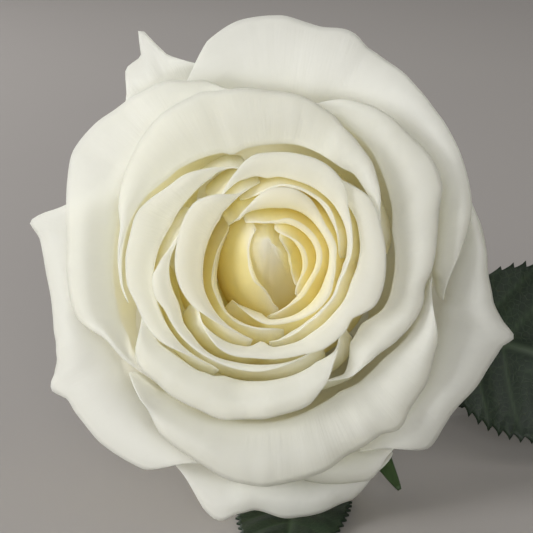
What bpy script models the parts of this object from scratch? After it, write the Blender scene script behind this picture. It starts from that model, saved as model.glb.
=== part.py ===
"""A cut white rose, lying on a surface.

The bloom has a frame of its own: x to the right, y up and w towards the viewer, along the bloom's axis.
Its origin is on the axis, level with the rims of the inner petals. Lengths are in millimetres until a mesh
is made, and angles are in degrees, counted from x towards y.
"""

import math
from collections import namedtuple
from functools import lru_cache

import bmesh
import bpy
from mathutils import Matrix, Vector

MM = 0.001

# The bloom leans back by this angle, and its centre stands this far from the part's origin.
LEAN = 15.0
BLOOM_CENTRE = Vector((-20.0, -99.1, 58.5))

# Petals
PETAL_THICKNESS = 0.6
SEAT_LEVEL = -60.0  # where the petals' claws stand on the hip
VIEW_DISTANCE = 450.0  # the outlines below are as seen from here, so deep ones are widened to match
CLAW_SHARE = 0.22  # a claw is this much as wide in angle as its petal
CLAW_LIMIT = 17.0  # and spans no more than this to each side
WIDENING = 0.55  # the share of a petal's height over which its claw widens
SHOULDER = 0.04  # a petal is this much wider below its corners
CLEARANCE = 0.95  # from a petal's middle surface to the rim that it surrounds
CLEARANCE_FADE = 12.0  # and over these degrees past that rim's end this ceases
TAPER_SHARE = 0.8  # no corner rounds off over more than this share of its petal's half
TAPER_CUT = 0.28  # the share of its height that a corner loses
TAPER_POWER = 1.5  # how suddenly it does so
BELLY_GROWTH = (8.8, 0.86, -0.0055)  # the belly's radius as powers of the fold's radius
BELLY_STEP = 0.12  # and one layer's further reach
LEVEL_SHARE = 0.6  # a throat that may not lean in rises less, by this share
SHOULDER_DROP = (4.5, 0.25, 8.0)  # from throat to shoulder: for no fold, more with its radius, at most
PETAL_ROWS = 8  # and one more for every so many degrees that a petal spans
SPAN_PER_ROW = 60.0

# Hip, sepals and stem
HIP_TOP = SEAT_LEVEL - 0.65
HIP_BOTTOM = -77.0
HIP_RADIUS = 10.4
STEM_RADIUS = 2.9
STEM_PIECES = 16
SEPAL_WIDTH = 10.0
SEPAL_THICKNESS = 0.7
GAP = 0.3

# Leaves
BLADE_THICKNESS = 0.7
RACHIS_RADIUS = 1.0
BLADE_ROWS = 12
BLADE_COLUMNS = 2
TOOTH_DEPTH = 0.2  # of the half width
TOOTH_LEAN = 0.4  # how far a notch lies towards the tip, as a share of a row
SETTLING = 0.6  # how softly a blade that meets the surface lies down on it

# A petal stands on its claw, at this angle and this far from the axis (seat). Its wall swells to a belly,
# comes in by round of the way to its throat and rises to a fold, which lies further out than the throat by
# lean or less. The lip starts rise or less above the throat, lies lower at the fold by dip, and falls by
# droop to the rim. Its corners round off over the length taper. A step is one column of the petal, in
# degrees. The outline gives, around the bloom: the angle, the fold's radius, the rim's radius and the
# rim's height.
Petal = namedtuple("Petal", "name claw seat lean round rise dip droop taper step outline")

PETALS = (
    Petal("petal_heart_fold", 18, 1.9, 0, 0.75, 1, 0, 0, 9, 19, (
        (-34, 4.6, 5.1, -6.2), (-10, 3.8, 4.3, -4.8), (18, 3.5, 4, -3.1), (45, 4.3, 4.8, -2.7),
        (75, 5.2, 5.7, -2.4),
    )),
    Petal("petal_heart_right", -25, 2.5, 0, 0.76, 1, 0, 0.1, 9, 17, (
        (-46, 5.9, 6.9, -7), (-30, 5.7, 6.8, -5.6), (-12, 5.8, 6.9, -4.3), (15, 6.1, 7.3, -2.9),
        (39, 6.5, 7.6, -2.3), (58, 6.8, 7.9, -2.2), (84, 6.8, 7.8, -2.3),
    )),
    Petal("petal_heart_left", 188, 2.5, 0, 0.76, 1, 0, 0.1, 9, 16, (
        (115, 7.3, 8.3, -2.6), (134, 6.3, 7.3, -2.8), (152, 4.9, 5.9, -3.1), (172, 3.9, 4.8, -3.6),
        (201, 3.5, 4.4, -4), (225, 3.7, 4.6, -4.8), (245, 4.1, 5, -5.6), (258, 4.7, 5.7, -6.5),
        (268, 5.7, 6.7, -7.6), (276, 7.1, 8.1, -8.9),
    )),
    Petal("petal_heart_wrap", 75, 3, 0, 0.7, 1, 0, 0.1, 9, 15, (
        (-92, 8.8, 9.9, -9.2), (-70, 8.1, 9.3, -8.1), (-50, 7.4, 8.6, -7), (-29, 7.2, 8.4, -5.4),
        (-12, 7.7, 8.9, -4), (0, 8.4, 9.7, -2.9), (21, 9.2, 10.6, -2.3), (49, 9.4, 10.8, -2.1),
        (74, 9.1, 10.5, -2.1), (84, 8.7, 10, -2.2), (98, 8.8, 10.1, -2.3), (116, 9.5, 10.6, -2.9),
    )),
    Petal("petal_whorl_wrap", -75, 3.7, 2, 0.65, 1.5, 0.4, 0.3, 9, 14, (
        (-136, 10.8, 11.7, -7.2), (-120, 10.2, 11.2, -6.9), (-105, 10.1, 11.3, -6.6),
        (-90, 10.2, 11.4, -6.3), (-75, 10.2, 11.5, -5.4), (-55, 10.6, 11.9, -4.2), (-40, 11.1, 12.4, -3),
        (-22, 11.5, 12.8, -1.8), (-11, 11.3, 12.6, -1.3), (6, 11.5, 12.8, -1), (20, 12.1, 13.6, -0.7),
        (37, 12.2, 13.7, -0.6), (50, 12.6, 14.6, -0.4), (63, 12.8, 15.9, -0.1), (75, 12.7, 16.5, 0),
        (90, 12.5, 16.2, 0), (100, 12.4, 15.5, -0.2), (118, 12.2, 14, -1.2), (130, 12.8, 13.2, -3.2),
    )),
    Petal("petal_whorl_low", -140, 3.9, 1.2, 0.58, 1.5, 0, 0.2, 14, 13, (
        (-226, 11.8, 12.2, -10), (-205, 11.3, 11.8, -9.5), (-188, 11.2, 11.7, -9), (-176, 11.5, 12, -8),
        (-163, 12, 12.5, -6.6), (-150, 12.3, 12.7, -5.7), (-136, 12.6, 13, -5.7), (-120, 12.5, 13.2, -5.1),
        (-105, 12.3, 13, -4.8), (-93, 12, 12.5, -4.9), (-82, 11.8, 12.3, -6.2),
    )),
    Petal("petal_whorl_high", 40, 3.5, 1, 0.55, 1.5, 0, 0.2, 14, 12, (
        (10, 13.2, 13.7, -3), (20, 14, 14.7, -1.6), (32, 15, 15.8, -0.9), (45, 15.7, 16.5, -0.8),
        (59, 16.3, 16.9, -1), (70, 16.6, 17.1, -0.9), (82, 16.6, 17.1, -0.8), (94, 15.6, 16.1, -1.3),
        (104, 14.8, 15.3, -3), (113, 14.4, 14.9, -5),
    )),
    Petal("petal_ring_left", 165, 4.4, 1.6, 0.55, 1.5, 1.6, 0.1, 12, 12, (
        (101, 16.8, 17.2, -2.8), (107, 16.4, 17, -1.4), (113, 15.7, 18, -0.3), (119, 15.4, 19.3, 0.2),
        (127, 14.6, 20.4, 0.4), (143, 14.4, 20.4, 0.3), (161, 14.3, 19.9, 0.1), (175, 14.3, 19.6, 0),
        (188, 14.1, 19.1, -0.1), (200, 14.3, 18.2, -0.2), (212, 14.4, 17, -0.4), (222, 14.5, 16.4, -0.9),
        (238, 14.6, 15.7, -1.9), (252, 14.9, 15.4, -3),
    )),
    Petal("petal_ring_top", 96, 4.7, 1.5, 0.55, 1.5, 1.6, 0.1, 11, 14, (
        (-88, 15.2, 15.6, -5.6), (-78, 14.5, 14.9, -4.5), (-67, 13.5, 14.1, -3.8), (-56, 12.8, 13.4, -3.4),
        (-40, 12.9, 13.4, -2.5), (-23, 13.4, 13.9, -1.4), (-13, 13.4, 13.9, -0.8), (0, 14.4, 15, -0.4),
        (13, 15.9, 16.5, -0.2), (24, 16.4, 17.5, 0), (37, 17, 19.3, 0.1), (50, 17.4, 22.2, 0.1),
        (60, 17.6, 23.3, 0), (76, 17.7, 23.7, -0.1), (90, 18, 23.2, -0.2), (104, 18.4, 22.8, -0.4),
        (111, 18.2, 21.9, -0.5), (119, 17.6, 21.1, -1.1), (130, 17, 19.4, -1.9),
    )),
    Petal("petal_ring_right", -30, 4.9, 2.4, 0.55, 1.6, 1.7, 0.1, 13, 12, (
        (-152, 16.6, 17.4, -3.4), (-140, 17.6, 19.2, -2.4), (-125, 17.7, 20, -2), (-110, 16.4, 18.9, -2.2),
        (-91, 15.6, 18.2, -2.4), (-72, 15.3, 18.4, -2.2), (-54, 15.5, 19.4, -1.8), (-42, 15.6, 19.4, -1.5),
        (-33, 15.9, 18.9, -1.2), (-26, 16, 20.5, -0.8), (-20, 16.2, 22, -0.4), (-14, 16.4, 22.5, -0.3),
        (0, 17.2, 22.8, -0.2), (18, 18.3, 23.3, -0.3), (34, 19.2, 24.2, -0.6), (42, 19.5, 24.3, -0.9),
        (50, 19.9, 24.4, -1.4), (58, 20.1, 23.6, -1.7), (70, 20.2, 22.2, -1.8),
    )),
    Petal("petal_ring_low", 222, 4.75, 1.5, 0.55, 1.5, 1.4, 0.1, 13, 14, (
        (146, 18.6, 19.2, -3.8), (156, 19.2, 20, -2.2), (164, 19.6, 20.9, -1.7), (171, 20, 21.8, -1.2),
        (179, 20.4, 23.4, -0.8), (186, 20.4, 24.1, -0.8), (193, 20.4, 24, -0.9), (203, 20.8, 22.9, -1.4),
        (213, 21.7, 22.9, -2.1), (222, 21.6, 22.6, -2.4), (233, 21.2, 22.1, -2.5), (244, 20.6, 21.7, -2.8),
        (258, 19.9, 21.1, -3.2), (272, 19.3, 20.5, -3.4), (289, 18.8, 19.6, -4.2), (300, 18, 18.6, -5.2),
    )),
    Petal("petal_middle_left", 170, 5.4, 2, 0.6, 2.5, 1.7, 0.1, 12, 11, (
        (106, 20.6, 21.4, -3.6), (113, 21.6, 23.6, -2.5), (121, 21.8, 25.8, -1.9), (129, 21.4, 26, -1.7),
        (137, 21.4, 26, -1.6), (144, 21.6, 26.8, -1.6), (150, 21.8, 28, -1.7), (156, 22, 28.9, -1.9),
        (163, 22.2, 29.2, -2), (172, 22.6, 29.4, -2.1), (185, 23.4, 29.3, -2.2), (195, 23.6, 28.2, -2.2),
        (205, 23.6, 27.6, -2.4), (218, 23.6, 26.5, -2.5), (225, 23.4, 25.4, -2.6), (233, 23, 24.2, -3.6),
        (240, 22.6, 23.2, -4.8),
    )),
    Petal("petal_middle_low", -88, 5.45, 3, 0.6, 2.2, 1.8, 1.2, 11, 11, (
        (-168, 26.4, 27.4, -4.4), (-157, 26.8, 30.2, -3.9), (-148, 27, 32.6, -3.7), (-140, 26, 33.1, -3.7),
        (-132, 25.2, 32.4, -3.7), (-123, 24.9, 32.4, -3.7), (-113, 24.9, 32.1, -3.7),
        (-105, 24.8, 31.3, -3.7), (-97, 24, 30.6, -3.7), (-88, 23, 29.8, -3.7), (-79, 22, 28.7, -3.7),
        (-70, 21.5, 27.5, -3.7), (-62, 21.2, 26.6, -3.7), (-55, 20.8, 24.3, -3.7), (-49, 19.8, 21.8, -4.2),
        (-42, 18.4, 19.2, -5),
    )),
    Petal("petal_middle_top", 100, 5.8, 3, 0.55, 2.4, 2, 0.9, 12, 12, (
        (8, 21, 21.8, -4), (14, 22, 22.8, -3.1), (23, 22.9, 24.4, -2.5), (34, 23.8, 26.4, -2.4),
        (43, 24.2, 28.2, -2.4), (49, 24.6, 29.5, -2.2), (56, 24, 30.6, -2.4), (62, 24.2, 31.6, -2.6),
        (67, 24.4, 32.9, -3), (73, 24.6, 33.9, -3.2), (82, 24.8, 34.9, -3.6), (90, 24.4, 35.4, -3.7),
        (100, 24, 36.4, -4), (106, 23.8, 37, -4.2), (112, 24.4, 38, -4.3), (120, 25.4, 38, -4.3),
        (130, 26.5, 37.4, -4.2), (140, 28, 36.2, -4), (151, 29, 34.6, -3.6), (158, 29.8, 33.3, -3.3),
        (166, 30.3, 31.5, -3.1), (177, 30.6, 31.2, -3.1), (184, 30.6, 31.2, -3.4), (190, 30.5, 31, -4),
    )),
    Petal("petal_outer_right", 15, 5.7, 5, 0.55, 2.8, 2.4, 0.9, 11, 10, (
        (-68, 24.8, 25.6, -6.6), (-60, 25.2, 26.6, -5.9), (-52, 26, 27.4, -5.1), (-41, 23.6, 27.3, -4.4),
        (-31, 23.2, 28.8, -4.3), (-23, 24.2, 30.1, -4.3), (-12, 25.2, 31.3, -4.3), (-7, 25.4, 30.9, -4.3),
        (0, 25.8, 32, -4.4), (10, 26.6, 33.4, -4.7), (19, 27.2, 35.6, -5.1), (26, 29, 38, -5.5),
        (35, 29.8, 38.7, -5.6), (44, 31.5, 38.6, -5.6), (56, 33.5, 38.2, -5.6), (68, 33.5, 36.6, -5.6),
        (79, 32.2, 34.2, -6), (84, 31.6, 32.6, -6.6),
    )),
    Petal("petal_outer_left", 152, 6.75, 3, 0.55, 3, 2, 1.4, 11, 10, (
        (92, 33, 34, -8.6), (100, 34.5, 37.2, -7.3), (106, 34, 38.8, -6.5), (111, 34, 40.4, -6.8),
        (120, 34, 42.9, -7.2), (131, 34, 44.2, -7.5), (142, 34, 45.9, -7.8), (149, 34, 46, -7.8),
        (157, 34, 44.4, -7.8), (165, 34, 42.6, -7.8), (175, 34, 41.2, -7.5), (185, 34.2, 41, -7.2),
        (194, 34.8, 40.3, -6.8), (198, 35, 38.8, -6.5), (204, 34.8, 36, -5.9), (214, 33.4, 34.7, -6.3),
        (226, 32.4, 33.4, -7.4),
    )),
    Petal("petal_outer_low", -70, 7.1, 3.5, 0.55, 2.6, 2, 1.8, 11, 10, (
        (-141, 37, 37.5, -7.8), (-136, 36.8, 37.8, -7.5), (-131, 35.8, 38.5, -7.2),
        (-122, 34.5, 40.2, -7.2), (-110, 33.6, 41.5, -7.5), (-100, 32.8, 43.4, -8.1),
        (-93, 32.2, 43.8, -8.1), (-84, 31.6, 43, -8.1), (-76, 31, 41.8, -7.8), (-66, 30.6, 40.2, -7.8),
        (-57, 30.4, 40, -7.8), (-52, 30.2, 41.2, -8.1), (-45, 30.2, 39.4, -7.8), (-37, 30.4, 38.4, -7.5),
        (-24, 31.6, 36.2, -7.2), (-14, 32, 34.8, -7.2), (-6, 32.2, 33.6, -7.8),
    )),
    Petal("petal_outer_top", 62, 7, 4, 0.55, 3.2, 0.6, 1, 11, 10, (
        (-8, 35.4, 35.9, -10.4), (5, 35.8, 38, -9.1), (15, 37.5, 41.4, -9.8), (24, 39, 43.2, -10.4),
        (34, 39.8, 44.5, -10.7), (44, 40, 45.4, -11.1), (54, 39.5, 46.8, -11.4), (66, 39, 48.2, -11.7),
        (73, 39, 50.2, -12), (79, 39, 49.4, -11.7), (88, 39, 50.6, -11.7), (97, 39, 50, -11.7),
        (108, 38.5, 46.6, -10.7), (117, 38, 44.6, -10.4), (120, 38, 43.6, -10.7),
    )),
    Petal("petal_back_left", 200, 7.4, 4, 0.55, 3, 0, 1.4, 11, 7, (
        (155, 39, 43.5, -12.2), (159, 39, 44.6, -11.9), (164, 39, 46.5, -11.9), (169, 39, 49.4, -12.2),
        (173, 39, 46.5, -11.6), (180, 39, 45.2, -11.6), (190, 39.2, 44.6, -11.6), (199, 39.4, 45.6, -11.6),
        (205, 39.6, 47.6, -12.2), (209, 39.8, 50.4, -12.6), (213, 40, 48.4, -12.2), (216, 40, 48.8, -12.2),
        (222, 40, 49, -12.2), (228, 40, 48.8, -12.2), (236, 40, 48, -12.2), (243, 40.4, 46.6, -12.2),
        (248, 40.8, 45, -12.2), (252, 41, 43.5, -12.6),
    )),
    Petal("petal_back_right", -38, 7.8, 5, 0.55, 3, 0, 1.4, 11, 7, (
        (-63, 41, 44.5, -14.3), (-59, 40.5, 46, -13.9), (-54, 40, 47.4, -13.9), (-48, 39.5, 47.8, -13.9),
        (-39, 39.5, 46.4, -13.6), (-30, 39.5, 47.2, -13.9), (-19, 39.5, 48.4, -13.9),
        (-16, 39.5, 50.4, -14.3), (-13, 39.5, 47.8, -13.9), (-8, 39.8, 44.6, -13.6), (2, 40, 43, -13.6),
        (15, 40.5, 42.8, -14.3), (26, 41, 43, -15),
    )),
    Petal("petal_back_low_right", -64, 8.2, 2, 0.55, 3, 0, 1.5, 11, 7, (
        (-95, 38.8, 41.5, -13.6), (-84, 39, 42.6, -13.6), (-78, 39.5, 43.8, -14.3), (-70, 41, 45.6, -15.3),
        (-62, 42, 47.4, -16.3), (-58, 42.6, 46, -16.3), (-52, 43, 44.6, -17),
    )),
    Petal("petal_back_low", -116, 8.4, 2, 0.55, 3, 0, 1.5, 11, 7, (
        (-120, 43, 44.6, -16.3), (-114, 43, 46.2, -16.3), (-108, 43, 48.6, -16.7), (-102, 43, 51.3, -17),
        (-97, 43, 49.4, -16.7), (-94, 43, 48.6, -16.7), (-86, 43, 50.3, -17), (-80, 43.5, 50, -17.3),
        (-71, 44, 49.2, -17.7), (-65, 44.5, 48.8, -18.4), (-58, 45, 47.6, -18.7),
    )),
    Petal("petal_back_top_left", 125, 8.4, 1.5, 0.55, 3, 0, 1, 11, 5, (
        (106, 42.5, 45, -15.3), (112, 43, 46, -15), (116.5, 43.5, 49, -15.3), (119, 43.5, 54.5, -15.6),
        (122, 43.5, 49.6, -15.3), (126, 43.5, 49.6, -15.3), (131, 43, 45.6, -15), (138, 42.5, 44, -15),
    )),
)

# The heart is closed: its sides rise to this ring (angle, radius, height) and lean from there to its tip.
HEART_TIP = (-0.4, 5.2, -0.4)
HEART_RING = (
    (-76, 4.6, -8.6), (-50, 4.2, -8), (-30, 3.6, -7), (-10, 3.0, -5.6), (18, 2.8, -4.4), (45, 3.5, -3.6),
    (70, 4.2, -3.3), (82, 4.4, -3.3), (99, 6.9, -3.2), (115, 7.0, -3.3), (134, 5.7, -3.7), (152, 4.4, -4.2),
    (172, 3.4, -4.7), (201, 3.0, -5.4), (225, 3.2, -6.2), (245, 3.5, -7.1), (258, 3.9, -7.9),
    (270, 4.6, -8.6),
)
HEART_SIDES = 20
HEART_ROWS = 11
HEART_SEAT = 1.1
HEART_RING_SHARE = 0.75  # of the way from the foot to the tip
HEART_ROUND = 0.8  # how much of the belly's swelling is left at its shoulder
HEART_DROP = 5.6  # and how far that shoulder lies below the ring
HEART_DOME = 1.3  # how far the crown bulges over the straight way to the tip

# Sepals: the angle, then points of the midrib from base to tip as (distance from the axis, height)
SEPALS = (
    (-60, ((11.2, -62.5), (24, -59.5), (37, -49), (47, -38), (54.6, -31))),
    (12, ((11.2, -62.5), (21, -62.5), (30, -61), (37, -63), (42, -67))),
    (84, ((11.2, -62.5), (20, -61.5), (30, -61), (38, -65), (42, -72))),
    (156, ((11.2, -62.5), (21, -62), (31, -58.5), (39, -58), (45, -61))),
    (228, ((11.2, -62.5), (19, -64), (26, -68), (31, -75), (33, -83))),
)

# The stem's course past the hip, on the part's own axes, from the surface point below the bloom's centre
STEM_COURSE = ((0.0, 116.0, 28.2), (1.5, 160.0, 15.5), (3.5, 194.0, 3.4), (6.0, 220.0, STEM_RADIUS))

# Prickles: the share of the stem's length, the angle around it and the length
PRICKLES = (
    (0.13, 200, 5.5), (0.22, 310, 6.0), (0.37, 60, 6.5), (0.52, 330, 6.5), (0.70, 20, 6.0), (0.86, 100, 5.0),
)

# A leaflet's base and tip, the way that its upper face looks, its width and how much it arches
Leaflet = namedtuple("Leaflet", "base tip face width arch")


def bloom_to_part(point):
    """A point of the bloom's frame in the part's frame, from the surface point below the bloom's centre."""
    turned = Matrix.Rotation(math.radians(90.0 - LEAN), 3, "X") @ Vector(point)
    return turned + Vector((0.0, 0.0, BLOOM_CENTRE.z))


def clear_scene():
    for obj in list(bpy.data.objects):
        bpy.data.objects.remove(obj, do_unlink=True)


def new_collection(name):
    collection = bpy.data.collections.new(name)
    bpy.context.scene.collection.children.link(collection)
    return collection


def new_material(name, colour, roughness):
    material = bpy.data.materials.new(name)
    material.use_nodes = True
    shader = material.node_tree.nodes["Principled BSDF"]
    shader.inputs["Base Color"].default_value = (*colour, 1.0)
    shader.inputs["Roughness"].default_value = roughness
    shader.inputs["Metallic"].default_value = 0.0
    return material


def finish_object(name, bm, collection, material, parent):
    """A named, smooth-shaded object from a bmesh in millimetres."""
    bmesh.ops.scale(bm, vec=(MM, MM, MM), verts=bm.verts)
    mesh = bpy.data.meshes.new(name)
    bm.to_mesh(mesh)
    bm.free()
    mesh.shade_smooth()
    obj = bpy.data.objects.new(name, mesh)
    obj.data.materials.append(material)
    collection.objects.link(obj)
    obj.parent = parent
    return obj


def ease(share):
    """0 to 1 with a soft start and a soft end."""
    share = min(max(share, 0.0), 1.0)
    return share * share * (3.0 - 2.0 * share)


def slope_at(points, index, column):
    """The slope of one column at a point of an outline, flat at its ends, its peaks and its dips."""
    if index in (0, len(points) - 1):
        return 0.0
    before, here, after = points[index - 1], points[index], points[index + 1]
    left = (here[column] - before[column]) / (here[0] - before[0])
    right = (after[column] - here[column]) / (after[0] - here[0])
    return 0.0 if left * right <= 0.0 else 2.0 * left * right / (left + right)


def read_outline(points, angle):
    """The values of an outline at an angle, on a smooth curve that never passes beyond its points."""
    if angle <= points[0][0]:
        return points[0][1:]
    if angle >= points[-1][0]:
        return points[-1][1:]
    index = max(i for i, point in enumerate(points) if point[0] <= angle)
    start, end = points[index], points[index + 1]
    step = end[0] - start[0]
    t = (angle - start[0]) / step
    values = []
    for column in range(1, len(start)):
        rise_start = slope_at(points, index, column) * step
        rise_end = slope_at(points, index + 1, column) * step
        values.append(
            (2 * t**3 - 3 * t**2 + 1) * start[column]
            + (t**3 - 2 * t**2 + t) * rise_start
            + (3 * t**2 - 2 * t**3) * end[column]
            + (t**3 - t**2) * rise_end
        )
    return values


def read_spline(controls, share):
    """A point of the cubic B-spline that starts and ends on its first and last control points."""
    degree = 3
    spans = len(controls) - degree
    knots = [0.0] * degree + [i / spans for i in range(spans + 1)] + [1.0] * degree
    share = min(max(share, 0.0), 1.0 - 1e-9)
    span = degree + int(share * spans)
    points = [Vector(controls[span - degree + i]) for i in range(degree + 1)]
    for level in range(1, degree + 1):
        for i in range(degree, level - 1, -1):
            low = knots[span - degree + i]
            high = knots[span + 1 + i - level]
            points[i] = points[i - 1].lerp(points[i], (share - low) / (high - low))
    return points[degree]


@lru_cache(maxsize=None)
def lean_at(layer, angle):
    """How far a petal's throat comes in from its fold: its lean, or less where a rim stands inside it."""
    petal = PETALS[layer]
    fold = read_outline(petal.outline, angle)[0]
    lean = petal.lean
    for inner in PETALS[:layer]:
        middle = (inner.outline[0][0] + inner.outline[-1][0]) / 2
        offset = (angle - middle + 180) % 360 - 180
        past = abs(offset) - (inner.outline[-1][0] - middle)
        inner_rim = read_outline(inner.outline, middle + offset)[1]
        room = max(0.0, fold - inner_rim - CLEARANCE)
        lean = min(lean, room + petal.lean * ease(past / CLEARANCE_FADE))
    return lean


def wall_and_lip(petal, fold, rim, height, lean):
    """The control points (radius, height) of a petal's section, from its claw to its rim."""
    layer = PETALS.index(petal)
    seat = petal.seat
    belly = sum(factor * fold ** power for power, factor in enumerate(BELLY_GROWTH)) + BELLY_STEP * layer
    throat = fold - lean
    rise = petal.rise * (1 - LEVEL_SHARE * (1 - lean / petal.lean if petal.lean else 1))
    shoulder = min(SHOULDER_DROP[0] + SHOULDER_DROP[1] * fold, SHOULDER_DROP[2])
    lip = rim - fold
    return (
        (seat, SEAT_LEVEL),
        (seat + 0.4, SEAT_LEVEL + 4),
        (4.0 + 3.0 * seat, SEAT_LEVEL + 9.5 - 0.12 * layer),
        (0.93 * belly + 0.1 * seat, SEAT_LEVEL + 18 - 0.22 * layer),
        (belly, (SEAT_LEVEL + height) / 2 + 2),
        (throat + petal.round * (belly - throat), height - rise - shoulder),
        (throat + 0.04 * (belly - throat), height - rise),
        (fold + 0.2 * lip, height + petal.droop - petal.dip),
        (fold + 0.65 * lip, height + 1.2 * petal.droop),
        (rim, height),
    )


def petal_point(petal, u, v):
    """A point of a petal's middle surface: u from -1 to 1 across it, v from 0 at its claw to 1 at its rim."""
    first, last = petal.outline[0][0], petal.outline[-1][0]
    half = (last - first) / 2
    length = math.radians(half) * petal.outline[0 if u < 0 else -1][2]
    taper = min(petal.taper, TAPER_SHARE * length)
    v *= 1 - TAPER_CUT * max(0.0, 1 - (1 - abs(u)) * length / taper) ** TAPER_POWER
    claw_half = min(CLAW_SHARE * half, CLAW_LIMIT)
    opened = ease(v / WIDENING)
    middle = petal.claw + ((first + last) / 2 - petal.claw) * opened
    bulge = 1 + SHOULDER * math.sin(math.pi * min(max(2 * v - 1, 0.0), 1.0))
    angle = middle + u * (claw_half + (half - claw_half) * opened) * bulge
    fold, rim, height = read_outline(petal.outline, angle)
    widened = 1 - height / VIEW_DISTANCE
    lean = lean_at(PETALS.index(petal), round(angle))
    section = wall_and_lip(petal, fold * widened, rim * widened, height, lean)
    radius, level = read_spline(section, v)
    turn = math.radians(angle)
    return Vector((radius * math.cos(turn), radius * math.sin(turn), level))


def make_petal(petal, collection, material, parent):
    """One petal: a grid bent onto its surface and given its thickness."""
    span = petal.outline[-1][0] - petal.outline[0][0]
    columns = max(4, round(span / petal.step))
    rows = PETAL_ROWS + int(span / SPAN_PER_ROW)
    bm = bmesh.new()
    bmesh.ops.create_grid(bm, x_segments=columns, y_segments=rows, size=1.0)
    for vert in bm.verts:
        vert.co = petal_point(petal, vert.co.x, (vert.co.y + 1) / 2)
    bmesh.ops.triangulate(bm, faces=bm.faces)
    obj = finish_object(petal.name, bm, collection, material, parent)
    shell = obj.modifiers.new("thickness", "SOLIDIFY")
    shell.thickness = PETAL_THICKNESS * MM
    shell.offset = 0.0
    return obj


def heart_point(angle, share):
    """A point of the heart: share runs from 0 at its foot over its ring to 1 at its tip."""
    closed_ring = HEART_RING + tuple((a + 360, r, z) for a, r, z in HEART_RING[:3])
    while angle < HEART_RING[0][0]:
        angle += 360
    radius, height = read_outline(closed_ring, angle)
    section = (
        (HEART_SEAT, SEAT_LEVEL),
        (HEART_SEAT + 0.3, SEAT_LEVEL + 4),
        (6.0, SEAT_LEVEL + 9),
        (0.93 * (9.8 + 0.5 * radius), SEAT_LEVEL + 18),
        (9.8 + 0.5 * radius, (SEAT_LEVEL + height) / 2),
        (radius + HEART_ROUND * (9.8 - 0.5 * radius), height - HEART_DROP),
        (radius, height),
    )
    radius, level = read_spline(section, min(share / HEART_RING_SHARE, 1.0))
    turn = math.radians(angle)
    side = Vector((radius * math.cos(turn), radius * math.sin(turn), level))
    if share <= HEART_RING_SHARE:
        return side
    lean = (share - HEART_RING_SHARE) / (1 - HEART_RING_SHARE)
    crown = side.lerp(Vector(HEART_TIP), lean)
    crown.z += HEART_DOME * math.sin(math.pi * lean)
    return crown


def make_heart(collection, material, parent):
    """The closed bud heart, as a tube of rings that ends in its tip."""
    bm = bmesh.new()
    rings = []
    for row in range(HEART_ROWS):
        share = row / HEART_ROWS
        ring = []
        for side in range(HEART_SIDES):
            ring.append(bm.verts.new(heart_point(-76 + 360 * side / HEART_SIDES, share)))
        rings.append(ring)
    tip = bm.verts.new(HEART_TIP)
    bm.faces.new(list(reversed(rings[0])))
    for low, high in zip(rings, rings[1:]):
        for side in range(HEART_SIDES):
            after = (side + 1) % HEART_SIDES
            bm.faces.new((low[side], low[after], high[after], high[side]))
    for side in range(HEART_SIDES):
        bm.faces.new((rings[-1][side], rings[-1][(side + 1) % HEART_SIDES], tip))
    return finish_object("bud_heart", bm, collection, material, parent)


def make_hip(collection, material, parent):
    """The hip with its calyx tube: a turned solid with a flat top for the claws."""
    profile = (
        (0.0, HIP_TOP), (9.4, HIP_TOP), (HIP_RADIUS, HIP_TOP - 0.9), (10.0, HIP_TOP - 2.6), (8.6, -66.5),
        (7.6, -70.0), (6.0, -73.5), (4.0, -75.8), (3.3, HIP_BOTTOM), (0.0, HIP_BOTTOM),
    )
    bm = bmesh.new()
    verts = [bm.verts.new((radius, 0.0, level)) for radius, level in profile]
    for start, end in zip(verts, verts[1:]):
        bm.edges.new((start, end))
    obj = finish_object("hip", bm, collection, material, parent)
    turn = obj.modifiers.new("turn", "SCREW")
    turn.steps = 20
    turn.render_steps = 20
    turn.use_merge_vertices = True
    turn.merge_threshold = 0.00005
    return obj


def make_sepal(number, angle, midrib, collection, material, parent):
    """A lance-shaped sepal, hollow along its upper face, that runs out to a thin tip."""
    bm = bmesh.new()
    bmesh.ops.create_grid(bm, x_segments=2, y_segments=9, size=1.0)
    out = Vector((math.cos(math.radians(angle)), math.sin(math.radians(angle)), 0.0))
    across = Vector((-out.y, out.x, 0.0))
    for vert in bm.verts:
        along = (vert.co.y + 1) / 2
        radius, level = read_spline(midrib, along)
        half = SEPAL_WIDTH / 2 * (1 - along) ** 0.8 * (0.62 + 0.9 * along) + 0.5
        side = vert.co.x
        vert.co = out * radius + across * (half * side) + Vector((0, 0, level + 0.22 * half * abs(side)))
    bmesh.ops.triangulate(bm, faces=bm.faces)
    obj = finish_object(f"sepal_{number}", bm, collection, material, parent)
    shell = obj.modifiers.new("thickness", "SOLIDIFY")
    shell.thickness = SEPAL_THICKNESS * MM
    shell.offset = 0.0
    return obj


def stem_point(share):
    """A point of the stem's middle line in the part's frame, from the hip at 0 to the cut end at 1."""
    top = bloom_to_part((0.0, 0.0, HIP_BOTTOM - GAP))
    return read_spline((top,) + STEM_COURSE, share)


def stem_side(share, angle):
    """The way out of the stem at an angle around it, from straight up to the right, and the way along."""
    along = (stem_point(share + 0.01) - stem_point(share - 0.01)).normalized()
    upward = (Vector((0, 0, 1)) - along * along.z).normalized()
    return Matrix.Rotation(math.radians(angle), 3, along) @ upward, along


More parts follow.
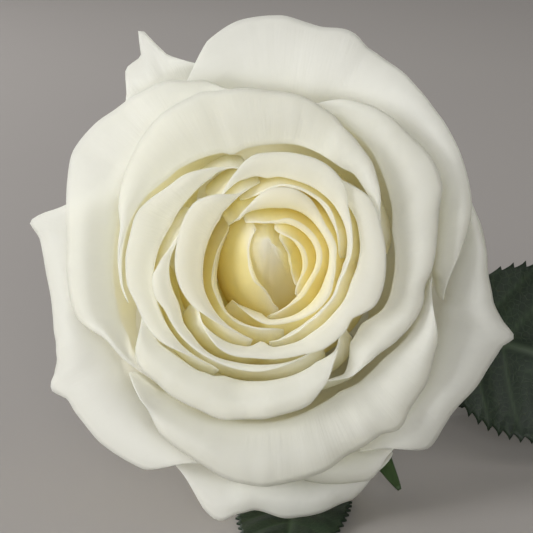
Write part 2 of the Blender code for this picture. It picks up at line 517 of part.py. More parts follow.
def tube(name, points, radii, sides_resolution, collection):
    """A capped tube along points, as a mesh object with its caps closed."""
    curve = bpy.data.curves.new(name, "CURVE")
    curve.dimensions = "3D"
    curve.bevel_depth = MM
    curve.bevel_resolution = sides_resolution
    curve.use_fill_caps = True
    spline = curve.splines.new("POLY")
    spline.points.add(len(points) - 1)
    for target, point, radius in zip(spline.points, points, radii):
        target.co = (*(point * MM), 1.0)
        target.radius = radius
    holder = bpy.data.objects.new(name + "_line", curve)
    collection.objects.link(holder)
    bpy.context.view_layer.update()
    evaluated = holder.evaluated_get(bpy.context.evaluated_depsgraph_get())
    mesh = bpy.data.meshes.new_from_object(evaluated)
    bm = bmesh.new()
    bm.from_mesh(mesh)
    bmesh.ops.remove_doubles(bm, verts=bm.verts, dist=0.00001)
    bm.to_mesh(mesh)
    bm.free()
    obj = bpy.data.objects.new(name, mesh)
    obj.matrix_world = holder.matrix_world
    collection.objects.link(obj)
    bpy.data.objects.remove(holder, do_unlink=True)
    return obj


def join_all(base, others_collection):
    """Joins every object of a collection into the base by one union, and removes them."""
    union = base.modifiers.new("join", "BOOLEAN")
    union.operation = "UNION"
    union.solver = "MANIFOLD"
    union.operand_type = "COLLECTION"
    union.collection = others_collection
    bpy.context.view_layer.update()
    evaluated = base.evaluated_get(bpy.context.evaluated_depsgraph_get())
    joined = bpy.data.meshes.new_from_object(evaluated)
    base.modifiers.clear()
    base.data = joined
    for obj in list(others_collection.objects):
        bpy.data.objects.remove(obj, do_unlink=True)
    bpy.data.collections.remove(others_collection)


def make_prickle(share, angle, length, collection, material):
    """A prickle: a slim cone that leans towards the stem's foot, its root sunk in the stem."""
    side, along = stem_side(share, angle)
    point_way = (side + along * 0.45).normalized()
    bm = bmesh.new()
    bmesh.ops.create_cone(bm, cap_ends=True, segments=6, radius1=1.9, radius2=0.15, depth=length)
    turn = point_way.to_track_quat("Z", "Y").to_matrix().to_4x4()
    middle = stem_point(share) + side * (STEM_RADIUS - 0.9) + point_way * (length / 2)
    bmesh.ops.transform(bm, matrix=Matrix.Translation(middle) @ turn, verts=bm.verts)
    return finish_object("prickle", bm, collection, material, None)


def make_stem(collection, material):
    line = [stem_point(i / STEM_PIECES) for i in range(STEM_PIECES + 1)]
    radii = [STEM_RADIUS * (0.92 + 0.08 * i / STEM_PIECES) for i in range(STEM_PIECES + 1)]
    stem = tube("stem", line, radii, 2, collection)
    stem.data.materials.append(material)
    prickles = new_collection("prickles")
    for share, angle, length in PRICKLES:
        make_prickle(share, angle, length, prickles, material)
    join_all(stem, prickles)
    return stem


def blade_width(along):
    """The half width of a leaflet along its length, as a share of its widest: blunt at its base."""
    return math.sin(math.pi * min(max(along, 0.0), 1.0) ** 0.68) ** 0.85


def blade_point(leaflet, along, side):
    """A point of a leaflet's middle surface: along from its base to its tip, side from -1 to 1."""
    base, tip = Vector(leaflet.base), Vector(leaflet.tip)
    run = tip - base
    across = run.cross(Vector(leaflet.face)).normalized()
    normal = across.cross(run).normalized()
    half = leaflet.width / 2 * blade_width(along) + 0.45
    arch = leaflet.arch * run.length * math.sin(math.pi * along)
    gutter = 2.4 * leaflet.arch * half * abs(side)
    point = base + run * along + across * (half * side) + normal * (arch + gutter)
    over = point.z - BLADE_THICKNESS / 2 - SETTLING
    if over < 0.0:
        point.z = BLADE_THICKNESS / 2 + SETTLING * math.exp(over / SETTLING)
    return point


def make_blade(name, leaflet, collection, material):
    """A leaflet with toothed edges, as a thin arched blade."""
    bm = bmesh.new()
    bmesh.ops.create_grid(bm, x_segments=BLADE_COLUMNS, y_segments=BLADE_ROWS, size=1.0)
    for vert in bm.verts:
        side = vert.co.x
        row = round((vert.co.y + 1) / 2 * BLADE_ROWS)
        along = row / BLADE_ROWS
        if abs(side) > 0.99 and row % 2 == 1:
            side *= 1 - TOOTH_DEPTH
            along += TOOTH_LEAN / BLADE_ROWS
        vert.co = blade_point(leaflet, along, side)
    bmesh.ops.triangulate(bm, faces=bm.faces)
    obj = finish_object(name, bm, collection, material, None)
    shell = obj.modifiers.new("thickness", "SOLIDIFY")
    shell.thickness = BLADE_THICKNESS * MM
    shell.offset = 0.0
    return obj


def make_leaf(name, share, angle, course, leaflets, collection, material):
    """A compound leaf: its rachis, which starts just off the stem, and its leaflets, joined in one solid."""
    side, along = stem_side(share, angle)
    foot = stem_point(share) + side * (STEM_RADIUS + GAP)
    controls = (foot, foot + side * 5.0) + tuple(Vector(point) for point in course)
    pieces = 4 * len(course)
    line = [read_spline(controls, i / pieces) for i in range(pieces + 1)]
    radii = [RACHIS_RADIUS * (1.35 - 0.45 * i / pieces) for i in range(pieces + 1)]
    leaf = tube(name, line, radii, 1, collection)
    leaf.data.materials.append(material)
    blades = new_collection(name + "_blades")
    for leaflet in leaflets:
        make_blade("blade", leaflet, blades, material)
    join_all(leaf, blades)
    return leaf


def leaves():
    """The three leaves: name, share of the stem and angle around it, the rachis and the leaflets."""
    bloom = bloom_to_part
    toward = bloom((0, 0, 1)) - bloom((0, 0, 0))
    up = Vector((0, 0, 1))
    right = (
        "leaf_right", 0.17, 92,
        (bloom((16, -6, -102)), bloom((26, -9, -88)), bloom((39, -13, -66.5))),
        (
            Leaflet(bloom((38.5, -13, -67)), bloom((97, -30, -63)), toward, 41, 0.07),
            Leaflet(bloom((26, -9, -86)), bloom((36, 33, -82)), toward, 26, 0.07),
            Leaflet(bloom((26, -9, -86)), bloom((56, -33, -101)), toward, 26, 0.07),
            Leaflet(bloom((15, -5, -102)), bloom((24, 26, -103)), toward, 20, 0.07),
            Leaflet(bloom((15, -5, -102)), bloom((36, -22, -118)), toward, 20, 0.07),
        ),
    )
    front = (
        "leaf_front", 0.42, 180,
        ((1, 122, 4), (2, 104, 1.4), (4, 70, 1.3), (6.5, 38, 1.2)),
        (
            Leaflet((6.5, 38, 0), (1.5, -22, -1), up, 24.5, 0.025),
            Leaflet((4.6, 70, 0), (-24, 66, -1), up, 20, 0.04),
            Leaflet((4.6, 70, 0), (31, 63, -1), up, 20, 0.04),
            Leaflet((3, 97, 0), (-28, 91, -1), up, 22, 0.05),
            Leaflet((3, 97, 0), (32, 85, -1), up, 22, 0.05),
        ),
    )
    left = (
        "leaf_left", 0.60, -92,
        ((-6, 160, 8), (-11, 164, 2), (-20, 168, 1.2)),
        (
            Leaflet((-19, 168, 0), (-57, 172, -1), up, 26, 0.05),
            Leaflet((-12, 165, 2), (-22, 192, -1), up, 20, 0.05),
            Leaflet((-12, 165, 2), (-30, 142, -1), up, 20, 0.05),
        ),
    )
    return right, front, left


def main():
    clear_scene()
    rose = new_collection("rose")
    petal_white = new_material("petal_white", (0.80, 0.78, 0.70), 0.6)
    heart_cream = new_material("heart_cream", (0.78, 0.72, 0.52), 0.6)
    calyx_green = new_material("calyx_green", (0.09, 0.14, 0.05), 0.6)
    stem_green = new_material("stem_green", (0.08, 0.13, 0.05), 0.5)
    leaf_green = new_material("leaf_green", (0.02, 0.045, 0.02), 0.45)

    origin = bpy.data.objects.new("rose_origin", None)
    rose.objects.link(origin)
    origin.location = Vector((BLOOM_CENTRE.x, BLOOM_CENTRE.y, 0.0)) * MM
    axis = bpy.data.objects.new("bloom_axis", None)
    rose.objects.link(axis)
    axis.parent = origin
    axis.location = (0.0, 0.0, BLOOM_CENTRE.z * MM)
    axis.rotation_euler = (math.radians(90.0 - LEAN), 0.0, 0.0)

    make_heart(rose, heart_cream, axis)
    for petal in PETALS:
        make_petal(petal, rose, petal_white, axis)
    make_hip(rose, calyx_green, axis)
    for number, (angle, midrib) in enumerate(SEPALS, 1):
        make_sepal(number, angle, midrib, rose, calyx_green, axis)
    make_stem(rose, stem_green).parent = origin
    for name, share, angle, course, leaflets in leaves():
        make_leaf(name, share, angle, course, leaflets, rose, leaf_green).parent = origin


main()
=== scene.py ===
import math

import bmesh
import bpy
from mathutils import Matrix, Vector, noise


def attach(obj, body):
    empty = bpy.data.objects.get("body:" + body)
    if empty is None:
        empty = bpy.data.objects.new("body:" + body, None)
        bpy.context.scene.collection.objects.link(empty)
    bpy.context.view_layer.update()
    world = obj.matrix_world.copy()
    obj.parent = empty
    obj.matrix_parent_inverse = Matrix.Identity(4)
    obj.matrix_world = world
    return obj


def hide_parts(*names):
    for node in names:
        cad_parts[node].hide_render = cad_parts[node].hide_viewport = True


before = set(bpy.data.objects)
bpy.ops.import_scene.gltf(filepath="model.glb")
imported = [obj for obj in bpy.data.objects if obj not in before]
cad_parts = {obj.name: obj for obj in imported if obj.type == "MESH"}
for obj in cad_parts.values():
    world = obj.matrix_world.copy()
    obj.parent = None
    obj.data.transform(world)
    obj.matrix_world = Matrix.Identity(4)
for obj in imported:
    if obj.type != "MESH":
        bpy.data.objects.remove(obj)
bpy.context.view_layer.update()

# A cut white rose lying on a pale surface. The bloom has a frame of its own: x to its right, y up its
# face and z out of it along its axis, level with the rims of the inner petals. Lengths are in
# millimetres until a piece is finished, and angles are in degrees, counted from x towards y.

pose = dict(
    lean=15.0,  # how far the bloom leans back
    centre=(-20.0, -99.1, 58.5),  # the bloom's own origin in the part's frame
)
bloomTurn = Matrix.Rotation(math.radians(90.0 - pose["lean"]), 4, "X")
bloomPlace = Matrix.Translation(pose["centre"]) @ bloomTurn
# the surface point straight below the bloom's origin
groundPlace = Matrix.Translation((pose["centre"][0], pose["centre"][1], 0.0))


def onGround(point):
    # a point of the bloom, seen from that surface point
    return (bloomTurn.to_3x3() @ Vector(point)) + Vector((0, 0, pose["centre"][2]))


# Colours and materials


def shade(hexText):
    # an sRGB hex colour as the linear values that Blender works in
    parts = [int(hexText[i:i + 2], 16) / 255 for i in (1, 3, 5)]
    return tuple(c / 12.92 if c <= 0.04045 else ((c + 0.055) / 1.055) ** 2.4 for c in parts) + (1.0,)


def addNode(material, kind, settings=None, links=None):
    node = material.node_tree.nodes.new(kind)
    for name, value in (settings or {}).items():
        if isinstance(name, int) or name in node.inputs:
            node.inputs[name].default_value = value
        else:
            setattr(node, name, value)
    for name, (source, output) in (links or {}).items():
        material.node_tree.links.new(source.outputs[output], node.inputs[name])
    return node


def addRamp(material, stops, factor):
    ramp = addNode(material, "ShaderNodeValToRGB", links={"Fac": factor})
    elements = ramp.color_ramp.elements
    while len(elements) > 1:
        elements.remove(elements[-1])
    elements[0].position, elements[0].color = stops[0][0], shade(stops[0][1])
    for place, colour in stops[1:]:
        elements.new(place).color = shade(colour)
    return ramp


def newMaterial(name):
    material = bpy.data.materials.new(name)
    material.use_nodes = True
    material.node_tree.nodes.clear()
    return material


def closeMaterial(material, shader, output="BSDF"):
    addNode(material, "ShaderNodeOutputMaterial", links={"Surface": (shader, output)})
    return material


petalLook = dict(
    # from the open rim down to the claw; the golden deep end is partly the tissue's own cream and partly
    # painted glow of light caught between the petals
    tones=[(0.0, "#F5F5F1"), (0.13, "#FAFAF6"), (0.3, "#FCFBF3"), (0.55, "#FDFAE0"), (1.0, "#FBF4C0")],
    patch=16.0,  # mm across the faint patches of cream
    mapWidth=120.0,  # mm that the petals' UV map stands for
    veinSpacing=0.9,  # mm
    veinLength=14,  # how many times its spacing a vein runs on
    veinRelief=0.15,  # mm
    grain=0.35,  # mm, the skin's cells drawn coarse enough to show
    glow=0.72,  # how much light passes through
)


def rosePetal():
    # Living petal: thin moist tissue under a velvety skin of tiny domed cells, so it glows where light
    # passes through it, has a soft bloom of sheen and no sharp highlight, and its veins show only as a
    # faint ribbing.
    made = newMaterial("rosePetalTissue")
    # the cream attribute tints the petals golden towards the claw and in the heart: partly the tissue's
    # own colour, partly painted glow of the bloom's depths
    creamAndPaintedGlow = addNode(made, "ShaderNodeAttribute", {"attribute_name": "creamAndPaintedGlow"})
    place = addNode(made, "ShaderNodeTexCoord")
    patch = addNode(made, "ShaderNodeTexNoise", {"Scale": 1000 / petalLook["patch"], "Detail": 3.0},
                    {"Vector": (place, "Object")})
    drift = addNode(made, "ShaderNodeMath", {"operation": "MULTIPLY_ADD", 1: 0.16, 2: -0.08},
                    {0: (patch, "Fac")})
    toned = addNode(made, "ShaderNodeMath", {"operation": "ADD", "use_clamp": True},
                    {0: (creamAndPaintedGlow, "Fac"), 1: (drift, "Value")})
    tone = addRamp(made, petalLook["tones"], (toned, "Value"))
    flat = addNode(made, "ShaderNodeUVMap", {"uv_map": "petalMap"})
    across = petalLook["mapWidth"] / petalLook["veinSpacing"]
    along = across / petalLook["veinLength"]
    drawn = addNode(made, "ShaderNodeMapping", {"Scale": (across, along, 1.0)}, {"Vector": (flat, "UV")})
    veins = addNode(made, "ShaderNodeTexNoise", {"Scale": 1.0, "Detail": 2.0, "Roughness": 0.45},
                    {"Vector": (drawn, "Vector")})
    cells = addNode(made, "ShaderNodeTexNoise", {"Scale": 1000 / petalLook["grain"], "Detail": 1.0},
                    {"Vector": (place, "Object")})
    ribbed = addNode(made, "ShaderNodeBump",
                     {"Strength": 0.5, "Distance": petalLook["veinRelief"] * 0.001},
                     {"Height": (veins, "Fac")})
    skin = addNode(made, "ShaderNodeBump", {"Strength": 0.3, "Distance": 0.00002},
                   {"Height": (cells, "Fac"), "Normal": (ribbed, "Normal")})
    body = addNode(made, "ShaderNodeBsdfPrincipled",
                   {"Roughness": 0.62, "IOR": 1.4, "Specular IOR Level": 0.35, "Sheen Weight": 0.25,
                    "Sheen Roughness": 0.45, "Sheen Tint": shade("#FFFDF2")},
                   {"Base Color": (tone, "Color"), "Normal": (skin, "Normal")})
    through = addNode(made, "ShaderNodeBsdfTranslucent", {},
                      {"Color": (tone, "Color"), "Normal": (ribbed, "Normal")})
    both = addNode(made, "ShaderNodeMixShader", {"Fac": petalLook["glow"]})
    made.node_tree.links.new(body.outputs["BSDF"], both.inputs[1])
    made.node_tree.links.new(through.outputs["BSDF"], both.inputs[2])
    return closeMaterial(made, both, "Shader")


leafLook = dict(
    upper=[(0.0, "#101B13"), (0.55, "#182818"), (1.0, "#233821")],
    under=[(0.0, "#4B5E45"), (1.0, "#66785C")],
    vein="#43573A",
    mottle=7.0,  # mm
    net=1.4,  # mm, the meshes of the vein net
)


def roseLeaf(name, tones, gloss, netRelief):
    # Leaf blade: the upper face is waxed and dark, with sunk veins that catch the light, and the under
    # face is paler and dull, with the same veins.
    made = newMaterial(name)
    place = addNode(made, "ShaderNodeTexCoord")
    mottle = addNode(made, "ShaderNodeTexNoise", {"Scale": 1000 / leafLook["mottle"], "Detail": 4.0},
                     {"Vector": (place, "Object")})
    tone = addRamp(made, tones, (mottle, "Fac"))
    vein = addNode(made, "ShaderNodeAttribute", {"attribute_name": "vein"})
    net = addNode(made, "ShaderNodeTexVoronoi",
                  {"Scale": 1000 / leafLook["net"], "feature": "DISTANCE_TO_EDGE"},
                  {"Vector": (place, "Object")})
    thread = addNode(made, "ShaderNodeMapRange", {"From Max": 0.12, "To Min": 0.35, "To Max": 0.0},
                     {"Value": (net, "Distance")})
    lines = addNode(made, "ShaderNodeMath", {"operation": "MAXIMUM"},
                    {0: (vein, "Fac"), 1: (thread, "Result")})
    inked = addNode(made, "ShaderNodeMath", {"operation": "MULTIPLY", 1: 0.55}, {0: (lines, "Value")})
    colour = addNode(made, "ShaderNodeMix", {"data_type": "RGBA"}, {"Factor": (inked, "Value")})
    made.node_tree.links.new(tone.outputs["Color"], colour.inputs[6])
    colour.inputs[7].default_value = shade(leafLook["vein"])
    relief = addNode(made, "ShaderNodeBump",
                     {"Strength": 0.6, "Distance": netRelief * 0.001, "invert": True},
                     {"Height": (lines, "Value")})
    body = addNode(made, "ShaderNodeBsdfPrincipled",
                   {"Roughness": gloss, "IOR": 1.45, "Specular IOR Level": 0.4},
                   {"Normal": (relief, "Normal")})
    made.node_tree.links.new(colour.outputs[2], body.inputs["Base Color"])
    return closeMaterial(made, body)


greenLook = dict(
    stem=[(0.0, "#3F5A2C"), (0.5, "#547038"), (1.0, "#6E8448")],
    stemBlush="#6A4A34",
    # the calyx greens are darker than a sepal's own mid green: partly the sepals' own colour, partly
    # painted shade of the shadow they lie in
    calyx=[(0.0, "#2A3B22"), (0.6, "#3C522F"), (1.0, "#566C40")],
    prickle=[(0.0, "#5E2F22"), (1.0, "#8E5A3A")],
)


def greenSkin(name, tones, streak, roughness, blush=None):
    # Smooth young bark: a waxed green skin with fine streaks along it, and brownish patches where blush
    # gives their colour.
    made = newMaterial(name)
    place = addNode(made, "ShaderNodeTexCoord")
    drawn = addNode(made, "ShaderNodeMapping", {"Scale": streak}, {"Vector": (place, "Object")})
    streaks = addNode(made, "ShaderNodeTexNoise", {"Scale": 1.0, "Detail": 5.0, "Roughness": 0.6},
                      {"Vector": (drawn, "Vector")})
    tone = addRamp(made, tones, (streaks, "Fac"))
    colour = (tone, "Color")
    if blush:
        patch = addNode(made, "ShaderNodeTexNoise", {"Scale": 1000 / 22, "Detail": 2.0},
                        {"Vector": (place, "Object")})
        spread = addNode(made, "ShaderNodeMapRange", {"From Min": 0.5, "From Max": 0.75, "To Max": 0.6},
                         {"Value": (patch, "Fac")})
        mixed = addNode(made, "ShaderNodeMix", {"data_type": "RGBA"}, {"Factor": (spread, "Result")})
        made.node_tree.links.new(tone.outputs["Color"], mixed.inputs[6])
        mixed.inputs[7].default_value = shade(blush)
        colour = (mixed, 2)
    relief = addNode(made, "ShaderNodeBump", {"Strength": 0.4, "Distance": 0.00008},
                     {"Height": (streaks, "Fac")})
    body = addNode(made, "ShaderNodeBsdfPrincipled",
                   {"Roughness": roughness, "IOR": 1.45, "Specular IOR Level": 0.45},
                   {"Base Color": colour, "Normal": (relief, "Normal")})
    return closeMaterial(made, body)


petalTissue = rosePetal()
leafUpper = roseLeaf("waxedLeafUpperFace", leafLook["upper"], 0.5, 0.10)
leafUnder = roseLeaf("dullLeafUnderFace", leafLook["under"], 0.7, 0.08)
stemSkin = greenSkin("youngStemBark", greenLook["stem"], (900, 60, 900), 0.45, greenLook["stemBlush"])
calyxSkin = greenSkin("calyxSkin", greenLook["calyx"], (300, 90, 300), 0.55)
prickleSkin = greenSkin("pricklesHorn", greenLook["prickle"], (700, 700, 700), 0.4)
print("materials made")


# Shared shapes


def soft(share):
    share = min(max(share, 0.0), 1.0)
    return share * share * (3.0 - 2.0 * share)


def outlineSlope(outline, index, column):
    if index in (0, len(outline) - 1):
        return 0.0
    before, here, after = outline[index - 1], outline[index], outline[index + 1]
    left = (here[column] - before[column]) / (here[0] - before[0])
    right = (after[column] - here[column]) / (after[0] - here[0])
    return 0.0 if left * right <= 0.0 else 2.0 * left * right / (left + right)


def readOutline(outline, angle):
    # the values at an angle, on a smooth curve that never passes beyond the outline's points
    if angle <= outline[0][0]:
        return outline[0][1:]
    if angle >= outline[-1][0]:
        return outline[-1][1:]
    index = max(i for i, point in enumerate(outline) if point[0] <= angle)
    start, end = outline[index], outline[index + 1]
    step = end[0] - start[0]
    t = (angle - start[0]) / step
    values = []
    for column in range(1, len(start)):
        leave = outlineSlope(outline, index, column) * step
        arrive = outlineSlope(outline, index + 1, column) * step
        values.append((2 * t**3 - 3 * t**2 + 1) * start[column] + (t**3 - 2 * t**2 + t) * leave
                      + (3 * t**2 - 2 * t**3) * end[column] + (t**3 - t**2) * arrive)
    return values


def readSpline(controls, share):
    # a point of the cubic B-spline that starts and ends on its first and last control points
    spans = len(controls) - 3
    knots = [0.0] * 3 + [i / spans for i in range(spans + 1)] + [1.0] * 3
    share = min(max(share, 0.0), 1.0 - 1e-9)
    span = 3 + int(share * spans)
    points = [Vector(controls[span - 3 + i]) for i in range(4)]
    for level in range(1, 4):
        for i in range(3, level - 1, -1):
            low, high = knots[span - 3 + i], knots[span + 1 + i - level]
            points[i] = points[i - 1].lerp(points[i], (share - low) / (high - low))
    return points[3]


def newGrid(columns, rows):
    # a flat grid, its UV running 0 to 1 across it and along it
    bm = bmesh.new()
    bm.loops.layers.uv.new("petalMap")
    bmesh.ops.create_grid(bm, x_segments=columns, y_segments=rows, size=1.0, calc_uvs=True)
    return bm


def finishPiece(name, bm, place, materials, node, thickness=0.0, thinBy=None):
    # the piece as an object at the origin, its place in its mesh, riding on the part and standing for a
    # node; thickness is in mm, and thinBy holds each vertex's share of it
    bmesh.ops.transform(bm, matrix=Matrix.Scale(0.001, 4) @ place, verts=bm.verts)
    mesh = bpy.data.meshes.new(name)
    bm.to_mesh(mesh)
    bm.free()
    mesh.shade_smooth()
    piece = bpy.data.objects.new(name, mesh)
    bpy.context.scene.collection.objects.link(piece)
    for material in materials:
        piece.data.materials.append(material)
    if thickness:
        if thinBy:
            group = piece.vertex_groups.new(name="flesh")
            for index, weight in enumerate(thinBy):
                group.add([index], weight, "REPLACE")
        shell = piece.modifiers.new("thickness", "SOLIDIFY")
        shell.thickness = thickness * 0.001
        shell.offset = 0.0
        if thinBy:
            shell.vertex_group = "flesh"
        if len(materials) > 1:
            shell.material_offset = 1
    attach(piece, "root")
    if node:
        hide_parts(node)
    return piece


# The petals, from the heart outwards. Each stands on its claw, at an angle and a distance (seat) from
# the axis. Its wall bellies out (round) and comes in by lean to a throat, which is rise lower than its
# rim. Its lip is raised by droop between fold and rim, less dip near the fold. Its ends round off over
# taper mm. Its outline gives, round the bloom, the angle, the fold's radius, the rim's radius and the
# rim's height.

